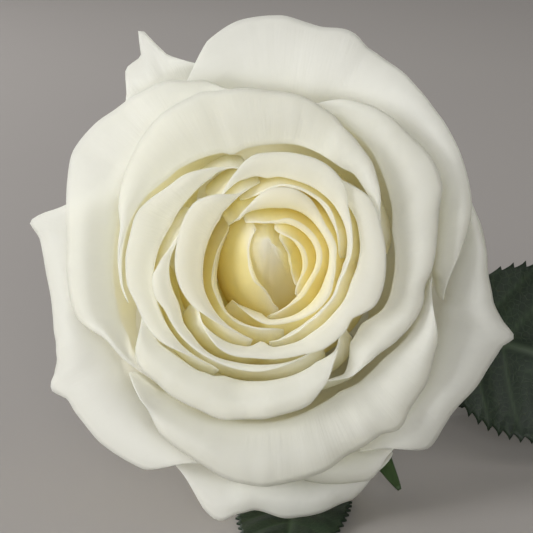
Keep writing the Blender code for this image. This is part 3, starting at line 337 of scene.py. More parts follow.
petals = {
    "petal_heart_fold": dict(
        claw=18, seat=1.9, lean=0, round=0.75, rise=1, dip=0, droop=0, taper=9, outline=[
        (-34, 4.6, 5.1, -6.2), (-10, 3.8, 4.3, -4.8), (18, 3.5, 4, -3.1), (45, 4.3, 4.8, -2.7),
        (75, 5.2, 5.7, -2.4)]),
    "petal_heart_right": dict(
        claw=-25, seat=2.5, lean=0, round=0.76, rise=1, dip=0, droop=0.1, taper=9, outline=[
        (-46, 5.9, 6.9, -7), (-30, 5.7, 6.8, -5.6), (-12, 5.8, 6.9, -4.3), (15, 6.1, 7.3, -2.9),
        (39, 6.5, 7.6, -2.3), (58, 6.8, 7.9, -2.2), (84, 6.8, 7.8, -2.3)]),
    "petal_heart_left": dict(
        claw=188, seat=2.5, lean=0, round=0.76, rise=1, dip=0, droop=0.1, taper=9, outline=[
        (115, 7.3, 8.3, -2.6), (134, 6.3, 7.3, -2.8), (152, 4.9, 5.9, -3.1), (172, 3.9, 4.8, -3.6),
        (201, 3.5, 4.4, -4), (225, 3.7, 4.6, -4.8), (245, 4.1, 5, -5.6), (258, 4.7, 5.7, -6.5),
        (268, 5.7, 6.7, -7.6), (276, 7.1, 8.1, -8.9)]),
    "petal_heart_wrap": dict(
        claw=75, seat=3, lean=0, round=0.7, rise=1, dip=0, droop=0.1, taper=9, outline=[
        (-92, 8.8, 9.9, -9.2), (-70, 8.1, 9.3, -8.1), (-50, 7.4, 8.6, -7), (-29, 7.2, 8.4, -5.4),
        (-12, 7.7, 8.9, -4), (0, 8.4, 9.7, -2.9), (21, 9.2, 10.6, -2.3), (49, 9.4, 10.8, -2.1),
        (74, 9.1, 10.5, -2.1), (84, 8.7, 10, -2.2), (98, 8.8, 10.1, -2.3), (116, 9.5, 10.6, -2.9)]),
    "petal_whorl_wrap": dict(
        claw=-75, seat=3.7, lean=2, round=0.65, rise=1.5, dip=0.4, droop=0.3, taper=9, outline=[
        (-136, 10.8, 11.7, -7.2), (-120, 10.2, 11.2, -6.9), (-105, 10.1, 11.3, -6.6),
        (-90, 10.2, 11.4, -6.3), (-75, 10.2, 11.5, -5.4), (-55, 10.6, 11.9, -4.2),
        (-40, 11.1, 12.4, -3), (-22, 11.5, 12.8, -1.8), (-11, 11.3, 12.6, -1.3), (6, 11.5, 12.8, -1),
        (20, 12.1, 13.6, -0.7), (37, 12.2, 13.7, -0.6), (50, 12.6, 14.6, -0.4),
        (63, 12.8, 15.9, -0.1), (75, 12.7, 16.5, 0), (90, 12.5, 16.2, 0), (100, 12.4, 15.5, -0.2),
        (118, 12.2, 14, -1.2), (130, 12.8, 13.2, -3.2)]),
    "petal_whorl_low": dict(
        claw=-140, seat=3.9, lean=1.2, round=0.58, rise=1.5, dip=0, droop=0.2, taper=14, outline=[
        (-226, 11.8, 12.2, -10), (-205, 11.3, 11.8, -9.5), (-188, 11.2, 11.7, -9),
        (-176, 11.5, 12, -8), (-163, 12, 12.5, -6.6), (-150, 12.3, 12.7, -5.7),
        (-136, 12.6, 13, -5.7), (-120, 12.5, 13.2, -5.1), (-105, 12.3, 13, -4.8),
        (-93, 12, 12.5, -4.9), (-82, 11.8, 12.3, -6.2)]),
    "petal_whorl_high": dict(
        claw=40, seat=3.5, lean=1, round=0.55, rise=1.5, dip=0, droop=0.2, taper=14, outline=[
        (10, 13.2, 13.7, -3), (20, 14, 14.7, -1.6), (32, 15, 15.8, -0.9), (45, 15.7, 16.5, -0.8),
        (59, 16.3, 16.9, -1), (70, 16.6, 17.1, -0.9), (82, 16.6, 17.1, -0.8), (94, 15.6, 16.1, -1.3),
        (104, 14.8, 15.3, -3), (113, 14.4, 14.9, -5)]),
    "petal_ring_left": dict(
        claw=165, seat=4.4, lean=1.6, round=0.55, rise=1.5, dip=1.6, droop=0.1, taper=12, outline=[
        (101, 16.8, 17.2, -2.8), (107, 16.4, 17, -1.4), (113, 15.7, 18, -0.3),
        (119, 15.4, 19.3, 0.2), (127, 14.6, 20.4, 0.4), (143, 14.4, 20.4, 0.3),
        (161, 14.3, 19.9, 0.1), (175, 14.3, 19.6, 0), (188, 14.1, 19.1, -0.1),
        (200, 14.3, 18.2, -0.2), (212, 14.4, 17, -0.4), (222, 14.5, 16.4, -0.9),
        (238, 14.6, 15.7, -1.9), (252, 14.9, 15.4, -3)]),
    "petal_ring_top": dict(
        claw=96, seat=4.7, lean=1.5, round=0.55, rise=1.5, dip=1.6, droop=0.1, taper=11, outline=[
        (-88, 15.2, 15.6, -5.6), (-78, 14.5, 14.9, -4.5), (-67, 13.5, 14.1, -3.8),
        (-56, 12.8, 13.4, -3.4), (-40, 12.9, 13.4, -2.5), (-23, 13.4, 13.9, -1.4),
        (-13, 13.4, 13.9, -0.8), (0, 14.4, 15, -0.4), (13, 15.9, 16.5, -0.2), (24, 16.4, 17.5, 0),
        (37, 17, 19.3, 0.1), (50, 17.4, 22.2, 0.1), (60, 17.6, 23.3, 0), (76, 17.7, 23.7, -0.1),
        (90, 18, 23.2, -0.2), (104, 18.4, 22.8, -0.4), (111, 18.2, 21.9, -0.5),
        (119, 17.6, 21.1, -1.1), (130, 17, 19.4, -1.9)]),
    "petal_ring_right": dict(
        claw=-30, seat=4.9, lean=2.4, round=0.55, rise=1.6, dip=1.7, droop=0.1, taper=13, outline=[
        (-152, 16.6, 17.4, -3.4), (-140, 17.6, 19.2, -2.4), (-125, 17.7, 20, -2),
        (-110, 16.4, 18.9, -2.2), (-91, 15.6, 18.2, -2.4), (-72, 15.3, 18.4, -2.2),
        (-54, 15.5, 19.4, -1.8), (-42, 15.6, 19.4, -1.5), (-33, 15.9, 18.9, -1.2),
        (-26, 16, 20.5, -0.8), (-20, 16.2, 22, -0.4), (-14, 16.4, 22.5, -0.3), (0, 17.2, 22.8, -0.2),
        (18, 18.3, 23.3, -0.3), (34, 19.2, 24.2, -0.6), (42, 19.5, 24.3, -0.9),
        (50, 19.9, 24.4, -1.4), (58, 20.1, 23.6, -1.7), (70, 20.2, 22.2, -1.8)]),
    "petal_ring_low": dict(
        claw=222, seat=4.75, lean=1.5, round=0.55, rise=1.5, dip=1.4, droop=0.1, taper=13, outline=[
        (146, 18.6, 19.2, -3.8), (156, 19.2, 20, -2.2), (164, 19.6, 20.9, -1.7),
        (171, 20, 21.8, -1.2), (179, 20.4, 23.4, -0.8), (186, 20.4, 24.1, -0.8),
        (193, 20.4, 24, -0.9), (203, 20.8, 22.9, -1.4), (213, 21.7, 22.9, -2.1),
        (222, 21.6, 22.6, -2.4), (233, 21.2, 22.1, -2.5), (244, 20.6, 21.7, -2.8),
        (258, 19.9, 21.1, -3.2), (272, 19.3, 20.5, -3.4), (289, 18.8, 19.6, -4.2),
        (300, 18, 18.6, -5.2)]),
    "petal_middle_left": dict(
        claw=170, seat=5.4, lean=2, round=0.6, rise=2.5, dip=1.7, droop=0.1, taper=12, outline=[
        (106, 20.6, 21.4, -3.6), (113, 21.6, 23.6, -2.5), (121, 21.8, 25.8, -1.9),
        (129, 21.4, 26, -1.7), (137, 21.4, 26, -1.6), (144, 21.6, 26.8, -1.6), (150, 21.8, 28, -1.7),
        (156, 22, 28.9, -1.9), (163, 22.2, 29.2, -2), (172, 22.6, 29.4, -2.1),
        (185, 23.4, 29.3, -2.2), (195, 23.6, 28.2, -2.2), (205, 23.6, 27.6, -2.4),
        (218, 23.6, 26.5, -2.5), (225, 23.4, 25.4, -2.6), (233, 23, 24.2, -3.6),
        (240, 22.6, 23.2, -4.8)]),
    "petal_middle_low": dict(
        claw=-88, seat=5.45, lean=3, round=0.6, rise=2.2, dip=1.8, droop=1.2, taper=11, outline=[
        (-168, 26.4, 27.4, -4.4), (-157, 26.8, 30.2, -3.9), (-148, 27, 32.6, -3.7),
        (-140, 26, 33.1, -3.7), (-132, 25.2, 32.4, -3.7), (-123, 24.9, 32.4, -3.7),
        (-113, 24.9, 32.1, -3.7), (-105, 24.8, 31.3, -3.7), (-97, 24, 30.6, -3.7),
        (-88, 23, 29.8, -3.7), (-79, 22, 28.7, -3.7), (-70, 21.5, 27.5, -3.7),
        (-62, 21.2, 26.6, -3.7), (-55, 20.8, 24.3, -3.7), (-49, 19.8, 21.8, -4.2),
        (-42, 18.4, 19.2, -5)]),
    "petal_middle_top": dict(
        claw=100, seat=5.8, lean=3, round=0.55, rise=2.4, dip=2, droop=0.9, taper=12, outline=[
        (8, 21, 21.8, -4), (14, 22, 22.8, -3.1), (23, 22.9, 24.4, -2.5), (34, 23.8, 26.4, -2.4),
        (43, 24.2, 28.2, -2.4), (49, 24.6, 29.5, -2.2), (56, 24, 30.6, -2.4), (62, 24.2, 31.6, -2.6),
        (67, 24.4, 32.9, -3), (73, 24.6, 33.9, -3.2), (82, 24.8, 34.9, -3.6), (90, 24.4, 35.4, -3.7),
        (100, 24, 36.4, -4), (106, 23.8, 37, -4.2), (112, 24.4, 38, -4.3), (120, 25.4, 38, -4.3),
        (130, 26.5, 37.4, -4.2), (140, 28, 36.2, -4), (151, 29, 34.6, -3.6), (158, 29.8, 33.3, -3.3),
        (166, 30.3, 31.5, -3.1), (177, 30.6, 31.2, -3.1), (184, 30.6, 31.2, -3.4),
        (190, 30.5, 31, -4)]),
    "petal_outer_right": dict(
        claw=15, seat=5.7, lean=5, round=0.55, rise=2.8, dip=2.4, droop=0.9, taper=11, outline=[
        (-68, 24.8, 25.6, -6.6), (-60, 25.2, 26.6, -5.9), (-52, 26, 27.4, -5.1),
        (-41, 23.6, 27.3, -4.4), (-31, 23.2, 28.8, -4.3), (-23, 24.2, 30.1, -4.3),
        (-12, 25.2, 31.3, -4.3), (-7, 25.4, 30.9, -4.3), (0, 25.8, 32, -4.4), (10, 26.6, 33.4, -4.7),
        (19, 27.2, 35.6, -5.1), (26, 29, 38, -5.5), (35, 29.8, 38.7, -5.6), (44, 31.5, 38.6, -5.6),
        (56, 33.5, 38.2, -5.6), (68, 33.5, 36.6, -5.6), (79, 32.2, 34.2, -6),
        (84, 31.6, 32.6, -6.6)]),
    "petal_outer_left": dict(
        claw=152, seat=6.75, lean=3, round=0.55, rise=3, dip=2, droop=1.4, taper=11, outline=[
        (92, 33, 34, -8.6), (100, 34.5, 37.2, -7.3), (106, 34, 38.8, -6.5), (111, 34, 40.4, -6.8),
        (120, 34, 42.9, -7.2), (131, 34, 44.2, -7.5), (142, 34, 45.9, -7.8), (149, 34, 46, -7.8),
        (157, 34, 44.4, -7.8), (165, 34, 42.6, -7.8), (175, 34, 41.2, -7.5), (185, 34.2, 41, -7.2),
        (194, 34.8, 40.3, -6.8), (198, 35, 38.8, -6.5), (204, 34.8, 36, -5.9),
        (214, 33.4, 34.7, -6.3), (226, 32.4, 33.4, -7.4)]),
    "petal_outer_low": dict(
        claw=-70, seat=7.1, lean=3.5, round=0.55, rise=2.6, dip=2, droop=1.8, taper=11, outline=[
        (-141, 37, 37.5, -7.8), (-136, 36.8, 37.8, -7.5), (-131, 35.8, 38.5, -7.2),
        (-122, 34.5, 40.2, -7.2), (-110, 33.6, 41.5, -7.5), (-100, 32.8, 43.4, -8.1),
        (-93, 32.2, 43.8, -8.1), (-84, 31.6, 43, -8.1), (-76, 31, 41.8, -7.8),
        (-66, 30.6, 40.2, -7.8), (-57, 30.4, 40, -7.8), (-52, 30.2, 41.2, -8.1),
        (-45, 30.2, 39.4, -7.8), (-37, 30.4, 38.4, -7.5), (-24, 31.6, 36.2, -7.2),
        (-14, 32, 34.8, -7.2), (-6, 32.2, 33.6, -7.8)]),
    "petal_outer_top": dict(
        claw=62, seat=7, lean=4, round=0.55, rise=3.2, dip=0.6, droop=1, taper=11, outline=[
        (-8, 35.4, 35.9, -10.4), (5, 35.8, 38, -9.1), (15, 37.5, 41.4, -9.8), (24, 39, 43.2, -10.4),
        (34, 39.8, 44.5, -10.7), (44, 40, 45.4, -11.1), (54, 39.5, 46.8, -11.4),
        (66, 39, 48.2, -11.7), (73, 39, 50.2, -12), (79, 39, 49.4, -11.7), (88, 39, 50.6, -11.7),
        (97, 39, 50, -11.7), (108, 38.5, 46.6, -10.7), (117, 38, 44.6, -10.4),
        (120, 38, 43.6, -10.7)]),
    "petal_back_left": dict(
        claw=200, seat=7.4, lean=4, round=0.55, rise=3, dip=0, droop=1.4, taper=11, outline=[
        (155, 39, 43.5, -12.2), (159, 39, 44.6, -11.9), (164, 39, 46.5, -11.9),
        (169, 39, 49.4, -12.2), (173, 39, 46.5, -11.6), (180, 39, 45.2, -11.6),
        (190, 39.2, 44.6, -11.6), (199, 39.4, 45.6, -11.6), (205, 39.6, 47.6, -12.2),
        (209, 39.8, 50.4, -12.6), (213, 40, 48.4, -12.2), (216, 40, 48.8, -12.2),
        (222, 40, 49, -12.2), (228, 40, 48.8, -12.2), (236, 40, 48, -12.2), (243, 40.4, 46.6, -12.2),
        (248, 40.8, 45, -12.2), (252, 41, 43.5, -12.6)]),
    "petal_back_right": dict(
        claw=-38, seat=7.8, lean=5, round=0.55, rise=3, dip=0, droop=1.4, taper=11, outline=[
        (-63, 41, 44.5, -14.3), (-59, 40.5, 46, -13.9), (-54, 40, 47.4, -13.9),
        (-48, 39.5, 47.8, -13.9), (-39, 39.5, 46.4, -13.6), (-30, 39.5, 47.2, -13.9),
        (-19, 39.5, 48.4, -13.9), (-16, 39.5, 50.4, -14.3), (-13, 39.5, 47.8, -13.9),
        (-8, 39.8, 44.6, -13.6), (2, 40, 43, -13.6), (15, 40.5, 42.8, -14.3), (26, 41, 43, -15)]),
    "petal_back_low_right": dict(
        claw=-64, seat=8.2, lean=2, round=0.55, rise=3, dip=0, droop=1.5, taper=11, outline=[
        (-95, 38.8, 41.5, -13.6), (-84, 39, 42.6, -13.6), (-78, 39.5, 43.8, -14.3),
        (-70, 41, 45.6, -15.3), (-62, 42, 47.4, -16.3), (-58, 42.6, 46, -16.3),
        (-52, 43, 44.6, -17)]),
    "petal_back_low": dict(
        claw=-116, seat=8.4, lean=2, round=0.55, rise=3, dip=0, droop=1.5, taper=11, outline=[
        (-120, 43, 44.6, -16.3), (-114, 43, 46.2, -16.3), (-108, 43, 48.6, -16.7),
        (-102, 43, 51.3, -17), (-97, 43, 49.4, -16.7), (-94, 43, 48.6, -16.7), (-86, 43, 50.3, -17),
        (-80, 43.5, 50, -17.3), (-71, 44, 49.2, -17.7), (-65, 44.5, 48.8, -18.4),
        (-58, 45, 47.6, -18.7)]),
    "petal_back_top_left": dict(
        claw=125, seat=8.4, lean=1.5, round=0.55, rise=3, dip=0, droop=1, taper=11, outline=[
        (106, 42.5, 45, -15.3), (112, 43, 46, -15), (116.5, 43.5, 49, -15.3),
        (119, 43.5, 54.5, -15.6), (122, 43.5, 49.6, -15.3), (126, 43.5, 49.6, -15.3),
        (131, 43, 45.6, -15), (138, 42.5, 44, -15)]),
}
petalBuild = dict(
    seatLevel=-60.0,  # where the claws stand
    seenFrom=450.0,  # the outlines are as seen from here, so deep ones are widened to match
    clawShare=0.22,
    clawLimit=17.0,
    widening=0.55,  # the share of a petal's height over which its claw widens
    bulge=0.04,  # share by which a petal is widest above its middle
    shoulder=(4.5, 0.25, 8.0),  # mm from wall to throat: least, more for each mm of fold, and most
    # the wall's widest radius in mm: for none, for each mm of fold, less for its square, for each layer
    belly=(8.8, 0.86, 0.0055, 0.12),
    columnStep=0.85,  # mm along the rim
    rows=62,
    flesh=0.42,  # mm thick
    rimFlesh=0.45,  # share of that left at its edges
    levelShare=0.6,  # a throat that may not lean in rises less, by this share
    clearance=0.95,  # mm from a petal's middle surface to the rim that it surrounds
    clearanceFade=12.0,  # degrees past that rim's end over which this ceases
    taperShare=0.8,  # no corner rounds off over more than this share of its petal's half
    taperCut=0.28,  # the share of its height that a corner loses
    ripple=1.0,  # mm, the rim's slow waves
    rippleLength=11.0,
    crimp=0.2,  # mm, the lip's fine ribs
    crimpLength=2.6,
    curl=0.5,  # mm that the very rim rolls under
)


leanFound = {}


def leanAt(layer, angle):
    # how far a petal's throat comes in from its fold: its lean, or less where a rim stands inside it
    if (layer, angle) not in leanFound:
        petal = list(petals.values())[layer]
        fold = readOutline(petal["outline"], angle)[0]
        lean = petal["lean"]
        for inner in list(petals.values())[:layer]:
            outline = inner["outline"]
            middle = (outline[0][0] + outline[-1][0]) / 2
            offset = (angle - middle + 180) % 360 - 180
            past = abs(offset) - (outline[-1][0] - middle)
            room = max(0.0, fold - readOutline(outline, middle + offset)[1] - petalBuild["clearance"])
            lean = min(lean, room + petal["lean"] * soft(past / petalBuild["clearanceFade"]))
        leanFound[(layer, angle)] = lean
    return leanFound[(layer, angle)]


def petalPoint(petal, layer, u, v):
    # a point of a petal's middle surface, with its place along the rim in mm and its angle: u runs from
    # -1 to 1 across it, and v from 0 at its claw to 1 at its rim
    build = petalBuild
    outline = petal["outline"]
    first, last = outline[0][0], outline[-1][0]
    half = (last - first) / 2
    # the corners are cut round, so that they end behind their neighbours
    length = math.radians(half) * outline[0 if u < 0 else -1][2]
    taper = min(petal["taper"], build["taperShare"] * length)
    v *= 1 - build["taperCut"] * max(0.0, 1 - (1 - abs(u)) * length / taper) ** 1.5
    clawHalf = min(build["clawShare"] * half, build["clawLimit"])
    opened = soft(v / build["widening"])
    middle = petal["claw"] + ((first + last) / 2 - petal["claw"]) * opened
    bulge = 1 + build["bulge"] * math.sin(math.pi * min(max(2 * v - 1, 0.0), 1.0))
    angle = middle + u * (clawHalf + (half - clawHalf) * opened) * bulge
    fold, rim, height = readOutline(outline, angle)
    widened = 1 - height / build["seenFrom"]
    fold, rim = fold * widened, rim * widened
    lip = rim - fold
    seat, rise, droop = petal["seat"], petal["rise"], petal["droop"]
    # the lean is worked out at whole degrees, and read between them
    near, part = divmod(angle, 1.0)
    lean = leanAt(layer, near) * (1 - part) + leanAt(layer, near + 1) * part
    throat = fold - lean
    rise *= 1 - build["levelShare"] * (1 - lean / petal["lean"] if petal["lean"] else 1)
    level = build["seatLevel"]
    least, growth, most = build["shoulder"]
    shoulder = min(least + growth * fold, most)
    start, wider, flatter, outer = build["belly"]
    belly = start + wider * fold - flatter * fold * fold + outer * layer
    section = (
        (seat, level),
        (seat + 0.4, level + 4),
        (4.0 + 3.0 * seat, level + 9.5 - 0.12 * layer),
        (0.93 * belly + 0.1 * seat, level + 18 - 0.22 * layer),
        (belly, (level + height) / 2 + 2),
        (throat + petal["round"] * (belly - throat), height - rise - shoulder),
        (throat + 0.04 * (belly - throat), height - rise),
        (fold + 0.2 * lip, height + droop - petal["dip"]),
        (fold + 0.65 * lip, height + 1.2 * droop),
        (rim, height),
    )
    radius, z = readSpline(section, v)
    # slow waves and fine ribs of the lip, each petal's from its own part of the noise
    arc = math.radians(angle) * rim
    nearRim = soft((v - 0.62) / 0.3)
    size = min(1.0, rim / 30)
    wave = noise.noise(Vector((arc / build["rippleLength"], layer * 3.7, v * 1.6)))
    rib = noise.noise(Vector((arc / build["crimpLength"], layer * 5.3 + 20, v * 3)))
    z += nearRim * size * (build["ripple"] * wave + build["crimp"] * rib)
    sway = noise.noise(Vector((arc / 7.0, layer * 1.9 + 50, v)))
    radius += nearRim * size * 0.5 * build["ripple"] * sway
    z -= build["curl"] * size * max(0.0, (v - 0.9) / 0.1) ** 2
    turn = math.radians(angle)
    return Vector((radius * math.cos(turn), radius * math.sin(turn), z)), arc, angle


def petalCreamAndPaintedGlow(layer, v):
    # how golden the petal is coloured: more towards the claw and in the heart, and less along the rim.
    # It is partly the tissue's own cream and partly painted glow, standing in for light that gathers
    # golden deep between the petals
    inner = max(0.0, 1 - layer / 15)
    face = soft((0.99 - v) / 0.08)
    low = soft((0.95 - v) / (0.75 - 0.5 * inner))
    return min(1.0, 0.05 + 0.10 * inner + 0.30 * inner ** 2 * face + 0.5 * low * (0.6 + 0.4 * inner))


def makePetal(name, layer):
    petal = petals[name]
    build = petalBuild
    span = petal["outline"][-1][0] - petal["outline"][0][0]
    radius = sum(point[2] for point in petal["outline"]) / len(petal["outline"])
    columns = max(24, round(math.radians(span) * radius / build["columnStep"]))
    bm = newGrid(columns, build["rows"])
    uv = bm.loops.layers.uv["petalMap"]
    # each vertex's golden tint: partly the tissue's own cream, partly painted glow of light in the
    # bloom's depths
    creamAndPaintedGlow = bm.verts.layers.float.new("creamAndPaintedGlow")
    flesh = []
    placed = {}
    for vert in bm.verts:
        u, v = vert.co.x, (vert.co.y + 1) / 2
        vert.co, arc, angle = petalPoint(petal, layer, u, v)
        vert[creamAndPaintedGlow] = petalCreamAndPaintedGlow(layer, v)
        placed[vert] = (0.5 + arc / petalLook["mapWidth"], v * 0.55)
        edge = min(1.0, min(1 - v, (1 - abs(u)) * 0.5) / 0.05)
        flesh.append(build["rimFlesh"] + (1 - build["rimFlesh"]) * soft(edge))
    for face in bm.faces:
        for loop in face.loops:
            loop[uv].uv = placed[loop.vert]
    return finishPiece(name + "_soft", bm, bloomPlace, [petalTissue], name, build["flesh"], flesh)


for layer, petalName in enumerate(petals):
    makePetal(petalName, layer)
print("petals made:", len(petals))


heartBuild = dict(
    tip=(-0.4, 5.2, -0.4),
    ring=[
        (-76, 4.6, -8.6), (-50, 4.2, -8), (-30, 3.6, -7), (-10, 3.0, -5.6), (18, 2.8, -4.4),
        (45, 3.5, -3.6), (70, 4.2, -3.3), (82, 4.4, -3.3), (99, 6.9, -3.2), (115, 7.0, -3.3),
        (134, 5.7, -3.7), (152, 4.4, -4.2), (172, 3.4, -4.7), (201, 3.0, -5.4), (225, 3.2, -6.2),
        (245, 3.5, -7.1), (258, 3.9, -7.9), (270, 4.6, -8.6),
    ],
    ringShare=0.75,  # the share of the rows below the ring
    seat=1.1,
    belly=(9.8, 0.5),  # mm, and more for each mm of the ring
    drop=5.6,  # mm below the ring where the teardrop starts to close
    dome=1.3,  # mm that its closed top swells
)


def makeHeart():
    # the innermost petals, still rolled tight into one closed teardrop
    build = heartBuild
    level = petalBuild["seatLevel"]
    ring = build["ring"] + [(a + 360, r, z) for a, r, z in build["ring"][:3]]
    bm = newGrid(96, 90)
    creamAndPaintedGlow = bm.verts.layers.float.new("creamAndPaintedGlow")
    for vert in bm.verts:
        angle = 104 + 180 * vert.co.x
        share = (vert.co.y + 1) / 2
        radius, height = readOutline(ring, angle)
        belly = build["belly"][0] + build["belly"][1] * radius
        section = (
            (0.0, level),
            (build["seat"] + 0.3, level + 3),
            (6.0, level + 9),
            (0.93 * belly, level + 18),
            (belly, (level + height) / 2),
            (radius + 0.8 * (build["belly"][0] - build["belly"][1] * radius), height - build["drop"]),
            (radius, height),
        )
        radius, z = readSpline(section, min(share / build["ringShare"], 1.0))
        turn = math.radians(angle)
        point = Vector((radius * math.cos(turn), radius * math.sin(turn), z))
        if share > build["ringShare"]:
            lean = (share - build["ringShare"]) / (1 - build["ringShare"])
            point = point.lerp(Vector(build["tip"]), lean)
            point.z += build["dome"] * math.sin(math.pi * lean)
        vert.co = point
        # golden towards the claw and low on the teardrop: partly the tissue's own cream, partly painted
        # glow of the bloom's depths
        vert[creamAndPaintedGlow] = 0.2 + 0.5 * soft((1 - share) / 0.3) + 0.3 * soft((0.75 - share) / 0.6)
    bmesh.ops.remove_doubles(bm, verts=bm.verts, dist=0.0005)
    bmesh.ops.recalc_face_normals(bm, faces=bm.faces)
    return finishPiece("bud_heart_soft", bm, bloomPlace, [petalTissue], "bud_heart")


makeHeart()
print("heart made")


# The hip with its calyx tube, and the sepals

hipBuild = dict(
    profile=[(0.0, -60.65), (9.4, -60.65), (10.4, -61.5), (10.1, -63.2), (8.8, -66.3), (7.7, -70.0),
             (6.1, -73.4), (4.2, -75.8), (3.3, -77.0), (0.0, -77.0)],
    sides=64,
)


def makeHip():
    bm = bmesh.new()
    verts = [bm.verts.new((radius, 0.0, z)) for radius, z in hipBuild["profile"]]
    edges = [bm.edges.new(pair) for pair in zip(verts, verts[1:])]
    bmesh.ops.subdivide_edges(bm, edges=edges[1:-1], cuts=5, smooth=1.0)
    bmesh.ops.spin(bm, geom=bm.verts[:] + bm.edges[:], axis=(0, 0, 1), cent=(0, 0, 0), angle=math.tau,
                   steps=hipBuild["sides"], use_merge=True)
    bmesh.ops.remove_doubles(bm, verts=bm.verts, dist=0.0005)
    bmesh.ops.recalc_face_normals(bm, faces=bm.faces)
    return finishPiece("hip_smooth", bm, bloomPlace, [calyxSkin], "hip")


sepalBuild = dict(
    width=10.0,
    thickness=0.6,
    midribs={
        "sepal_1": (-60, [(9.9, -62.6), (24, -59.5), (37, -49), (47, -38), (54.6, -31)]),
        "sepal_2": (12, [(9.9, -62.6), (21, -62.5), (30, -61), (37, -63), (42, -67)]),
        "sepal_3": (84, [(9.9, -62.6), (20, -61.5), (30, -61), (38, -65), (42, -72)]),
        "sepal_4": (156, [(9.9, -62.6), (21, -62), (31, -58.5), (39, -58), (45, -61)]),
        "sepal_5": (228, [(9.9, -62.6), (19, -64), (26, -68), (31, -75), (33, -83)]),
    },
)


def makeSepal(name):
    angle, midrib = sepalBuild["midribs"][name]
    bm = newGrid(14, 60)
    out = Vector((math.cos(math.radians(angle)), math.sin(math.radians(angle)), 0.0))
    across = Vector((-out.y, out.x, 0.0))
    for vert in bm.verts:
        side, along = vert.co.x, (vert.co.y + 1) / 2
        radius, z = readSpline(midrib, along)
        half = sepalBuild["width"] / 2 * (1 - along) ** 0.8 * (0.62 + 0.9 * along) + 0.35
        half *= 1 + 0.05 * noise.noise(Vector((along * 9, angle, side)))
        hollow = 0.22 * half * abs(side) ** 1.5 - 0.35 * (1 - along) * math.exp(-(side * 5) ** 2)
        vert.co = out * radius + across * (half * side) + Vector((0, 0, z + hollow))
    return finishPiece(name + "_fine", bm, bloomPlace, [calyxSkin], name, sepalBuild["thickness"])


makeHip()
for sepalName in sepalBuild["midribs"]:
    makeSepal(sepalName)
print("hip and sepals made")


# The stem with its prickles

stemBuild = dict(
    top=(0.0, 0.0, -77.3),  # in the bloom's frame
    course=[(0.0, 116.0, 28.2), (1.5, 160.0, 15.5), (3.5, 194.0, 3.4), (6.0, 220.0, 2.9)],
    radius=2.9,
    knots=(0.17, 0.42, 0.60),  # where the leaves leave it
    knotSwell=0.07,
    knotLength=0.012,
    # the share of the stem, the angle round it and the length in mm
    prickles=[(0.13, 200, 5.5), (0.22, 310, 6.0), (0.37, 60, 6.5), (0.52, 330, 6.5), (0.70, 20, 6.0),
              (0.86, 100, 5.0)],
)


def stemPoint(share):
    return readSpline([onGround(stemBuild["top"])] + stemBuild["course"], share)


def stemSide(share, angle):
    along = (stemPoint(share + 0.01) - stemPoint(share - 0.01)).normalized()
    upward = (Vector((0, 0, 1)) - along * along.z).normalized()
    return Matrix.Rotation(math.radians(angle), 3, along) @ upward, along


def bendTube(bm, line, radii):
    # bends a fresh grid round a line of points; its ends are pulled shut to flat discs
    last = len(line) - 1
    for vert in bm.verts:
        turn = math.pi * vert.co.x
        share = (vert.co.y + 1) / 2 * (last + 4) - 2
        beyond = max(-share, share - last, 0.0)
        pinch = min(1.0, max(0.0, 2 - beyond) / 2)
        share = min(max(share, 0.0), last - 1e-6)
        index = int(share)
        middle = Vector(line[index]).lerp(Vector(line[index + 1]), share - index)
        before, after = Vector(line[max(index - 1, 0)]), Vector(line[min(index + 2, last)])
        along = (after - before).normalized()
        upward = (Vector((0, 0, 1)) - along * along.z).normalized()
        side = Matrix.Rotation(turn, 3, along) @ upward
        radius = radii[index] + (radii[index + 1] - radii[index]) * (share - index)
        vert.co = middle + side * (radius * pinch)
    bmesh.ops.remove_doubles(bm, verts=bm.verts, dist=0.0005)
    bmesh.ops.recalc_face_normals(bm, faces=bm.faces)


def makeStem():
    steps = 150
    line = [stemPoint(i / steps) for i in range(steps + 1)]
    radii = []
    for i in range(steps + 1):
        share = i / steps
        knot = sum(math.exp(-((share - at) / stemBuild["knotLength"]) ** 2)
                   for at in stemBuild["knots"])
        radii.append(stemBuild["radius"] * (0.92 + 0.08 * share) * (1 + stemBuild["knotSwell"] * knot))
    bm = newGrid(32, steps + 4)
    bendTube(bm, line, radii)
    finishPiece("stem_fine", bm, groundPlace, [stemSkin], "stem")
    thorns = bmesh.new()
    for share, angle, length in stemBuild["prickles"]:
        side, along = stemSide(share, angle)
        across = along.cross(side)
        foot = stemPoint(share) + side * (stemBuild["radius"] - 0.9)
        grid = bmesh.ops.create_grid(thorns, x_segments=16, y_segments=14, size=1.0)
        for vert in grid["verts"]:
            # a broad foot drawn out to a point that hooks down the stem; the first row closes the foot
            turn, up = math.pi * vert.co.x, (vert.co.y + 1) / 2
            slim = 0.0 if up < 0.01 else (1 - up) ** 1.7
            vert.co = (foot + side * (length * up) + across * (1.2 * slim * math.sin(turn))
                       + along * (2.6 * slim * math.cos(turn) + 0.5 * length * up ** 1.8 - 0.3))
    bmesh.ops.remove_doubles(thorns, verts=thorns.verts, dist=0.0005)
    bmesh.ops.recalc_face_normals(thorns, faces=thorns.faces)
    finishPiece("stem_prickles", thorns, groundPlace, [prickleSkin], None)


makeStem()
print("stem made")


# The leaves. Leaf points are on the part's own axes, from the surface point below the bloom's origin.

leafBuild = dict(
    thickness=0.45,
    columns=26,
    rowsPerTooth=5,
    teeth=24,
    toothDepth=0.085,  # of the half width
    sideVeins=7,
    quilt=0.35,  # mm that the blade swells between its veins
    midribSink=0.35,  # mm
    settling=0.6,  # mm over which a blade that would sink comes to rest
    rachisRadius=1.0,
    solidBlade=0.7,  # mm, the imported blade's thickness, which the resting height is measured with
)
toward = onGround((0, 0, 1)) - onGround((0, 0, 0))
upFace = Vector((0, 0, 1))
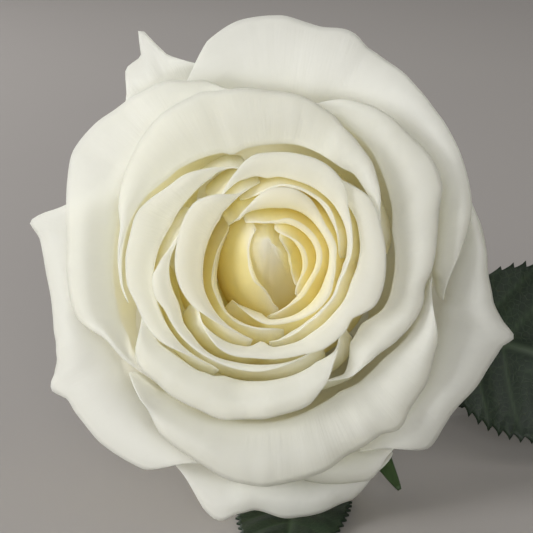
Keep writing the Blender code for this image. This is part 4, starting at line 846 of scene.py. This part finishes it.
# each leaf leaves the stem at a share of it and an angle; a leaflet has its foot, its tip, the way its
# upper face looks, its width in mm and its arch
leaves = {
    "leaf_right": dict(share=0.17, angle=92, course=[
        onGround((16, -6, -102)), onGround((26, -9, -88)), onGround((39, -13, -66.5))], leaflets=[
        (onGround((38.5, -13, -67)), onGround((97, -30, -63)), toward, 41, 0.07),
        (onGround((26, -9, -86)), onGround((36, 33, -82)), toward, 26, 0.07),
        (onGround((26, -9, -86)), onGround((56, -33, -101)), toward, 26, 0.07),
        (onGround((15, -5, -102)), onGround((24, 26, -103)), toward, 20, 0.07),
        (onGround((15, -5, -102)), onGround((36, -22, -118)), toward, 20, 0.07)]),
    "leaf_front": dict(share=0.42, angle=180, course=[
        (1, 122, 4), (2, 104, 1.4), (4, 70, 1.3), (6.5, 38, 1.2)], leaflets=[
        ((6.5, 38, 0), (1.5, -22, -1), upFace, 24.5, 0.025),
        ((4.6, 70, 0), (-24, 66, -1), upFace, 20, 0.04),
        ((4.6, 70, 0), (31, 63, -1), upFace, 20, 0.04),
        ((3, 97, 0), (-28, 91, -1), upFace, 22, 0.05),
        ((3, 97, 0), (32, 85, -1), upFace, 22, 0.05)]),
    "leaf_left": dict(share=0.60, angle=-92, course=[
        (-6, 160, 8), (-11, 164, 2), (-20, 168, 1.2)], leaflets=[
        ((-19, 168, 0), (-57, 172, -1), upFace, 26, 0.05),
        ((-12, 165, 2), (-22, 192, -1), upFace, 20, 0.05),
        ((-12, 165, 2), (-30, 142, -1), upFace, 20, 0.05)]),
}


def bladeWidth(along):
    return math.sin(math.pi * min(max(along, 0.0), 1.0) ** 0.68) ** 0.85


def makeLeaflet(name, leaflet, seed):
    build = leafBuild
    base, tip, face, width, arch = leaflet
    base, tip = Vector(base), Vector(tip)
    run = tip - base
    across = run.cross(Vector(face)).normalized()
    normal = across.cross(run).normalized()
    rows = build["teeth"] * build["rowsPerTooth"]
    bm = newGrid(build["columns"], rows)
    vein = bm.verts.layers.float.new("vein")
    for vert in bm.verts:
        side, along = vert.co.x, (vert.co.y + 1) / 2
        reach = abs(side)
        # the teeth lean towards the tip and fade into the blade
        phase = along * build["teeth"] % 1.0
        tooth = (phase ** 1.4 if phase < 0.78 else (1 - phase) / 0.22) * bladeWidth(along) ** 0.5
        half = width / 2 * bladeWidth(along) + 0.3
        out = half * reach * (1 - build["toothDepth"] * (1 - tooth) * reach ** 6)
        # side veins leave the midrib at a slant and bow towards the tip
        slant = along - 0.17 * reach ** 1.2
        step = (slant * (build["sideVeins"] + 1) + 0.5) % 1.0 - 0.5
        lateral = math.exp(-(step / 0.07) ** 2) * soft((1 - reach) / 0.25) * soft(slant / 0.06)
        midrib = math.exp(-(half * reach / 0.55) ** 2)
        vert[vein] = max(midrib, 0.75 * lateral)
        lift = arch * run.length * math.sin(math.pi * along) + 2.4 * arch * half * reach
        lift += build["quilt"] * (math.cos(2 * math.pi * step) * -0.5) * reach * (1 - reach) * 4
        lift -= build["midribSink"] * midrib
        lift += 0.5 * noise.noise(Vector((along * 3, side * 1.5, seed * 7.7))) * reach
        lift += 0.45 * math.sin(2 * math.pi * (along * 3 + seed * 0.37)) * reach ** 3 * arch / 0.07
        point = base + run * along + across * math.copysign(out, side) + normal * lift
        over = point.z - build["solidBlade"] / 2 - build["settling"]
        if over < 0.0:
            point.z = build["solidBlade"] / 2 + build["settling"] * math.exp(over / build["settling"])
        vert.co = point
    return finishPiece(name, bm, groundPlace, [leafUpper, leafUnder], None, build["thickness"])


def makeLeaf(name):
    leaf = leaves[name]
    build = leafBuild
    side, along = stemSide(leaf["share"], leaf["angle"])
    foot = stemPoint(leaf["share"]) + side * (stemBuild["radius"] + 0.3)
    controls = [foot, foot + side * 5.0] + leaf["course"]
    steps = 60
    line = [readSpline(controls, i / steps) for i in range(steps + 1)]
    # it thins along its way, from a thick foot
    radii = [build["rachisRadius"] * (1.35 - 0.45 * i / steps) * (1 + 0.5 * math.exp(-i / 2.0))
             for i in range(steps + 1)]
    bm = newGrid(14, steps + 4)
    bendTube(bm, line, radii)
    finishPiece(name + "_rachis", bm, groundPlace, [stemSkin], name)
    for number, leaflet in enumerate(leaf["leaflets"], 1):
        makeLeaflet(f"{name}_leaflet_{number}", leaflet, number + len(name))


for leafName in leaves:
    makeLeaf(leafName)
print("leaves made")


# Floor, light and camera

stage = dict(
    floor=[(0.0, "#9B9694"), (1.0, "#A4A09C")],
    floorSize=8.0,  # m
    sky="#F2F1EE",
    skyStrength=0.42,
    lights={
        # size in m, watts, and the place in the bloom's frame in m
        "windowLight": (0.5, 12.5, (-1.0, 0.18, 0.75)),
        "roomFill": (0.4, 7.5, (0.05, 0.08, 1.5)),
        "backLight": (0.5, 2.6, (-0.5, 0.45, -0.5)),
    },
    bounces=32,  # light finds its way down between pale petals
    camera=(-1.1, 0.3, 450.0),  # mm in the bloom's frame
    lens=152.0,
)


def makeFloor():
    bm = newGrid(8, 8)
    bmesh.ops.scale(bm, vec=(stage["floorSize"] / 2,) * 3, verts=bm.verts)
    mesh = bpy.data.meshes.new("paleFloor")
    bm.to_mesh(mesh)
    bm.free()
    floor = bpy.data.objects.new("paleFloor", mesh)
    bpy.context.scene.collection.objects.link(floor)
    # Matt card: an even, slightly warm grey with no gloss.
    card = newMaterial("mattCard")
    place = addNode(card, "ShaderNodeTexCoord")
    cloud = addNode(card, "ShaderNodeTexNoise", {"Scale": 3.0, "Detail": 2.0},
                    {"Vector": (place, "Object")})
    tone = addRamp(card, stage["floor"], (cloud, "Fac"))
    body = addNode(card, "ShaderNodeBsdfPrincipled", {"Roughness": 0.9, "Specular IOR Level": 0.1},
                   {"Base Color": (tone, "Color")})
    mesh.materials.append(closeMaterial(card, body))


def makeLight(name):
    size, watts, at = stage["lights"][name]
    lamp = bpy.data.lights.new(name, "AREA")
    lamp.size = size
    lamp.energy = watts
    holder = bpy.data.objects.new(name, lamp)
    bpy.context.scene.collection.objects.link(holder)
    centre = Matrix.Scale(0.001, 4) @ bloomPlace @ Vector((0, 0, -20))
    holder.location = centre + bloomTurn.to_3x3() @ Vector(at)
    holder.rotation_mode = "QUATERNION"
    holder.rotation_quaternion = (centre - holder.location).to_track_quat("-Z", "Y")


makeFloor()
for lightName in stage["lights"]:
    makeLight(lightName)
world = bpy.data.worlds.new("softRoom")
world.use_nodes = True
world.node_tree.nodes["Background"].inputs["Color"].default_value = shade(stage["sky"])
world.node_tree.nodes["Background"].inputs["Strength"].default_value = stage["skyStrength"]
bpy.context.scene.world = world
bpy.context.scene.view_settings.view_transform = "Standard"
bpy.context.scene.cycles.max_bounces = stage["bounces"]
bpy.context.scene.cycles.diffuse_bounces = stage["bounces"]
bpy.context.scene.cycles.transmission_bounces = stage["bounces"]

camera = bpy.data.objects.new("camera", bpy.data.cameras.new("camera"))
bpy.context.scene.collection.objects.link(camera)
camera.location = Matrix.Scale(0.001, 4) @ bloomPlace @ Vector(stage["camera"])
camera.rotation_euler = (math.radians(90.0 - pose["lean"]), 0.0, 0.0)
camera.data.lens = stage["lens"]
camera.data.sensor_width = 36.0
camera.data.clip_start, camera.data.clip_end = 0.01, 30.0
bpy.context.scene.camera = camera
print("stage made")
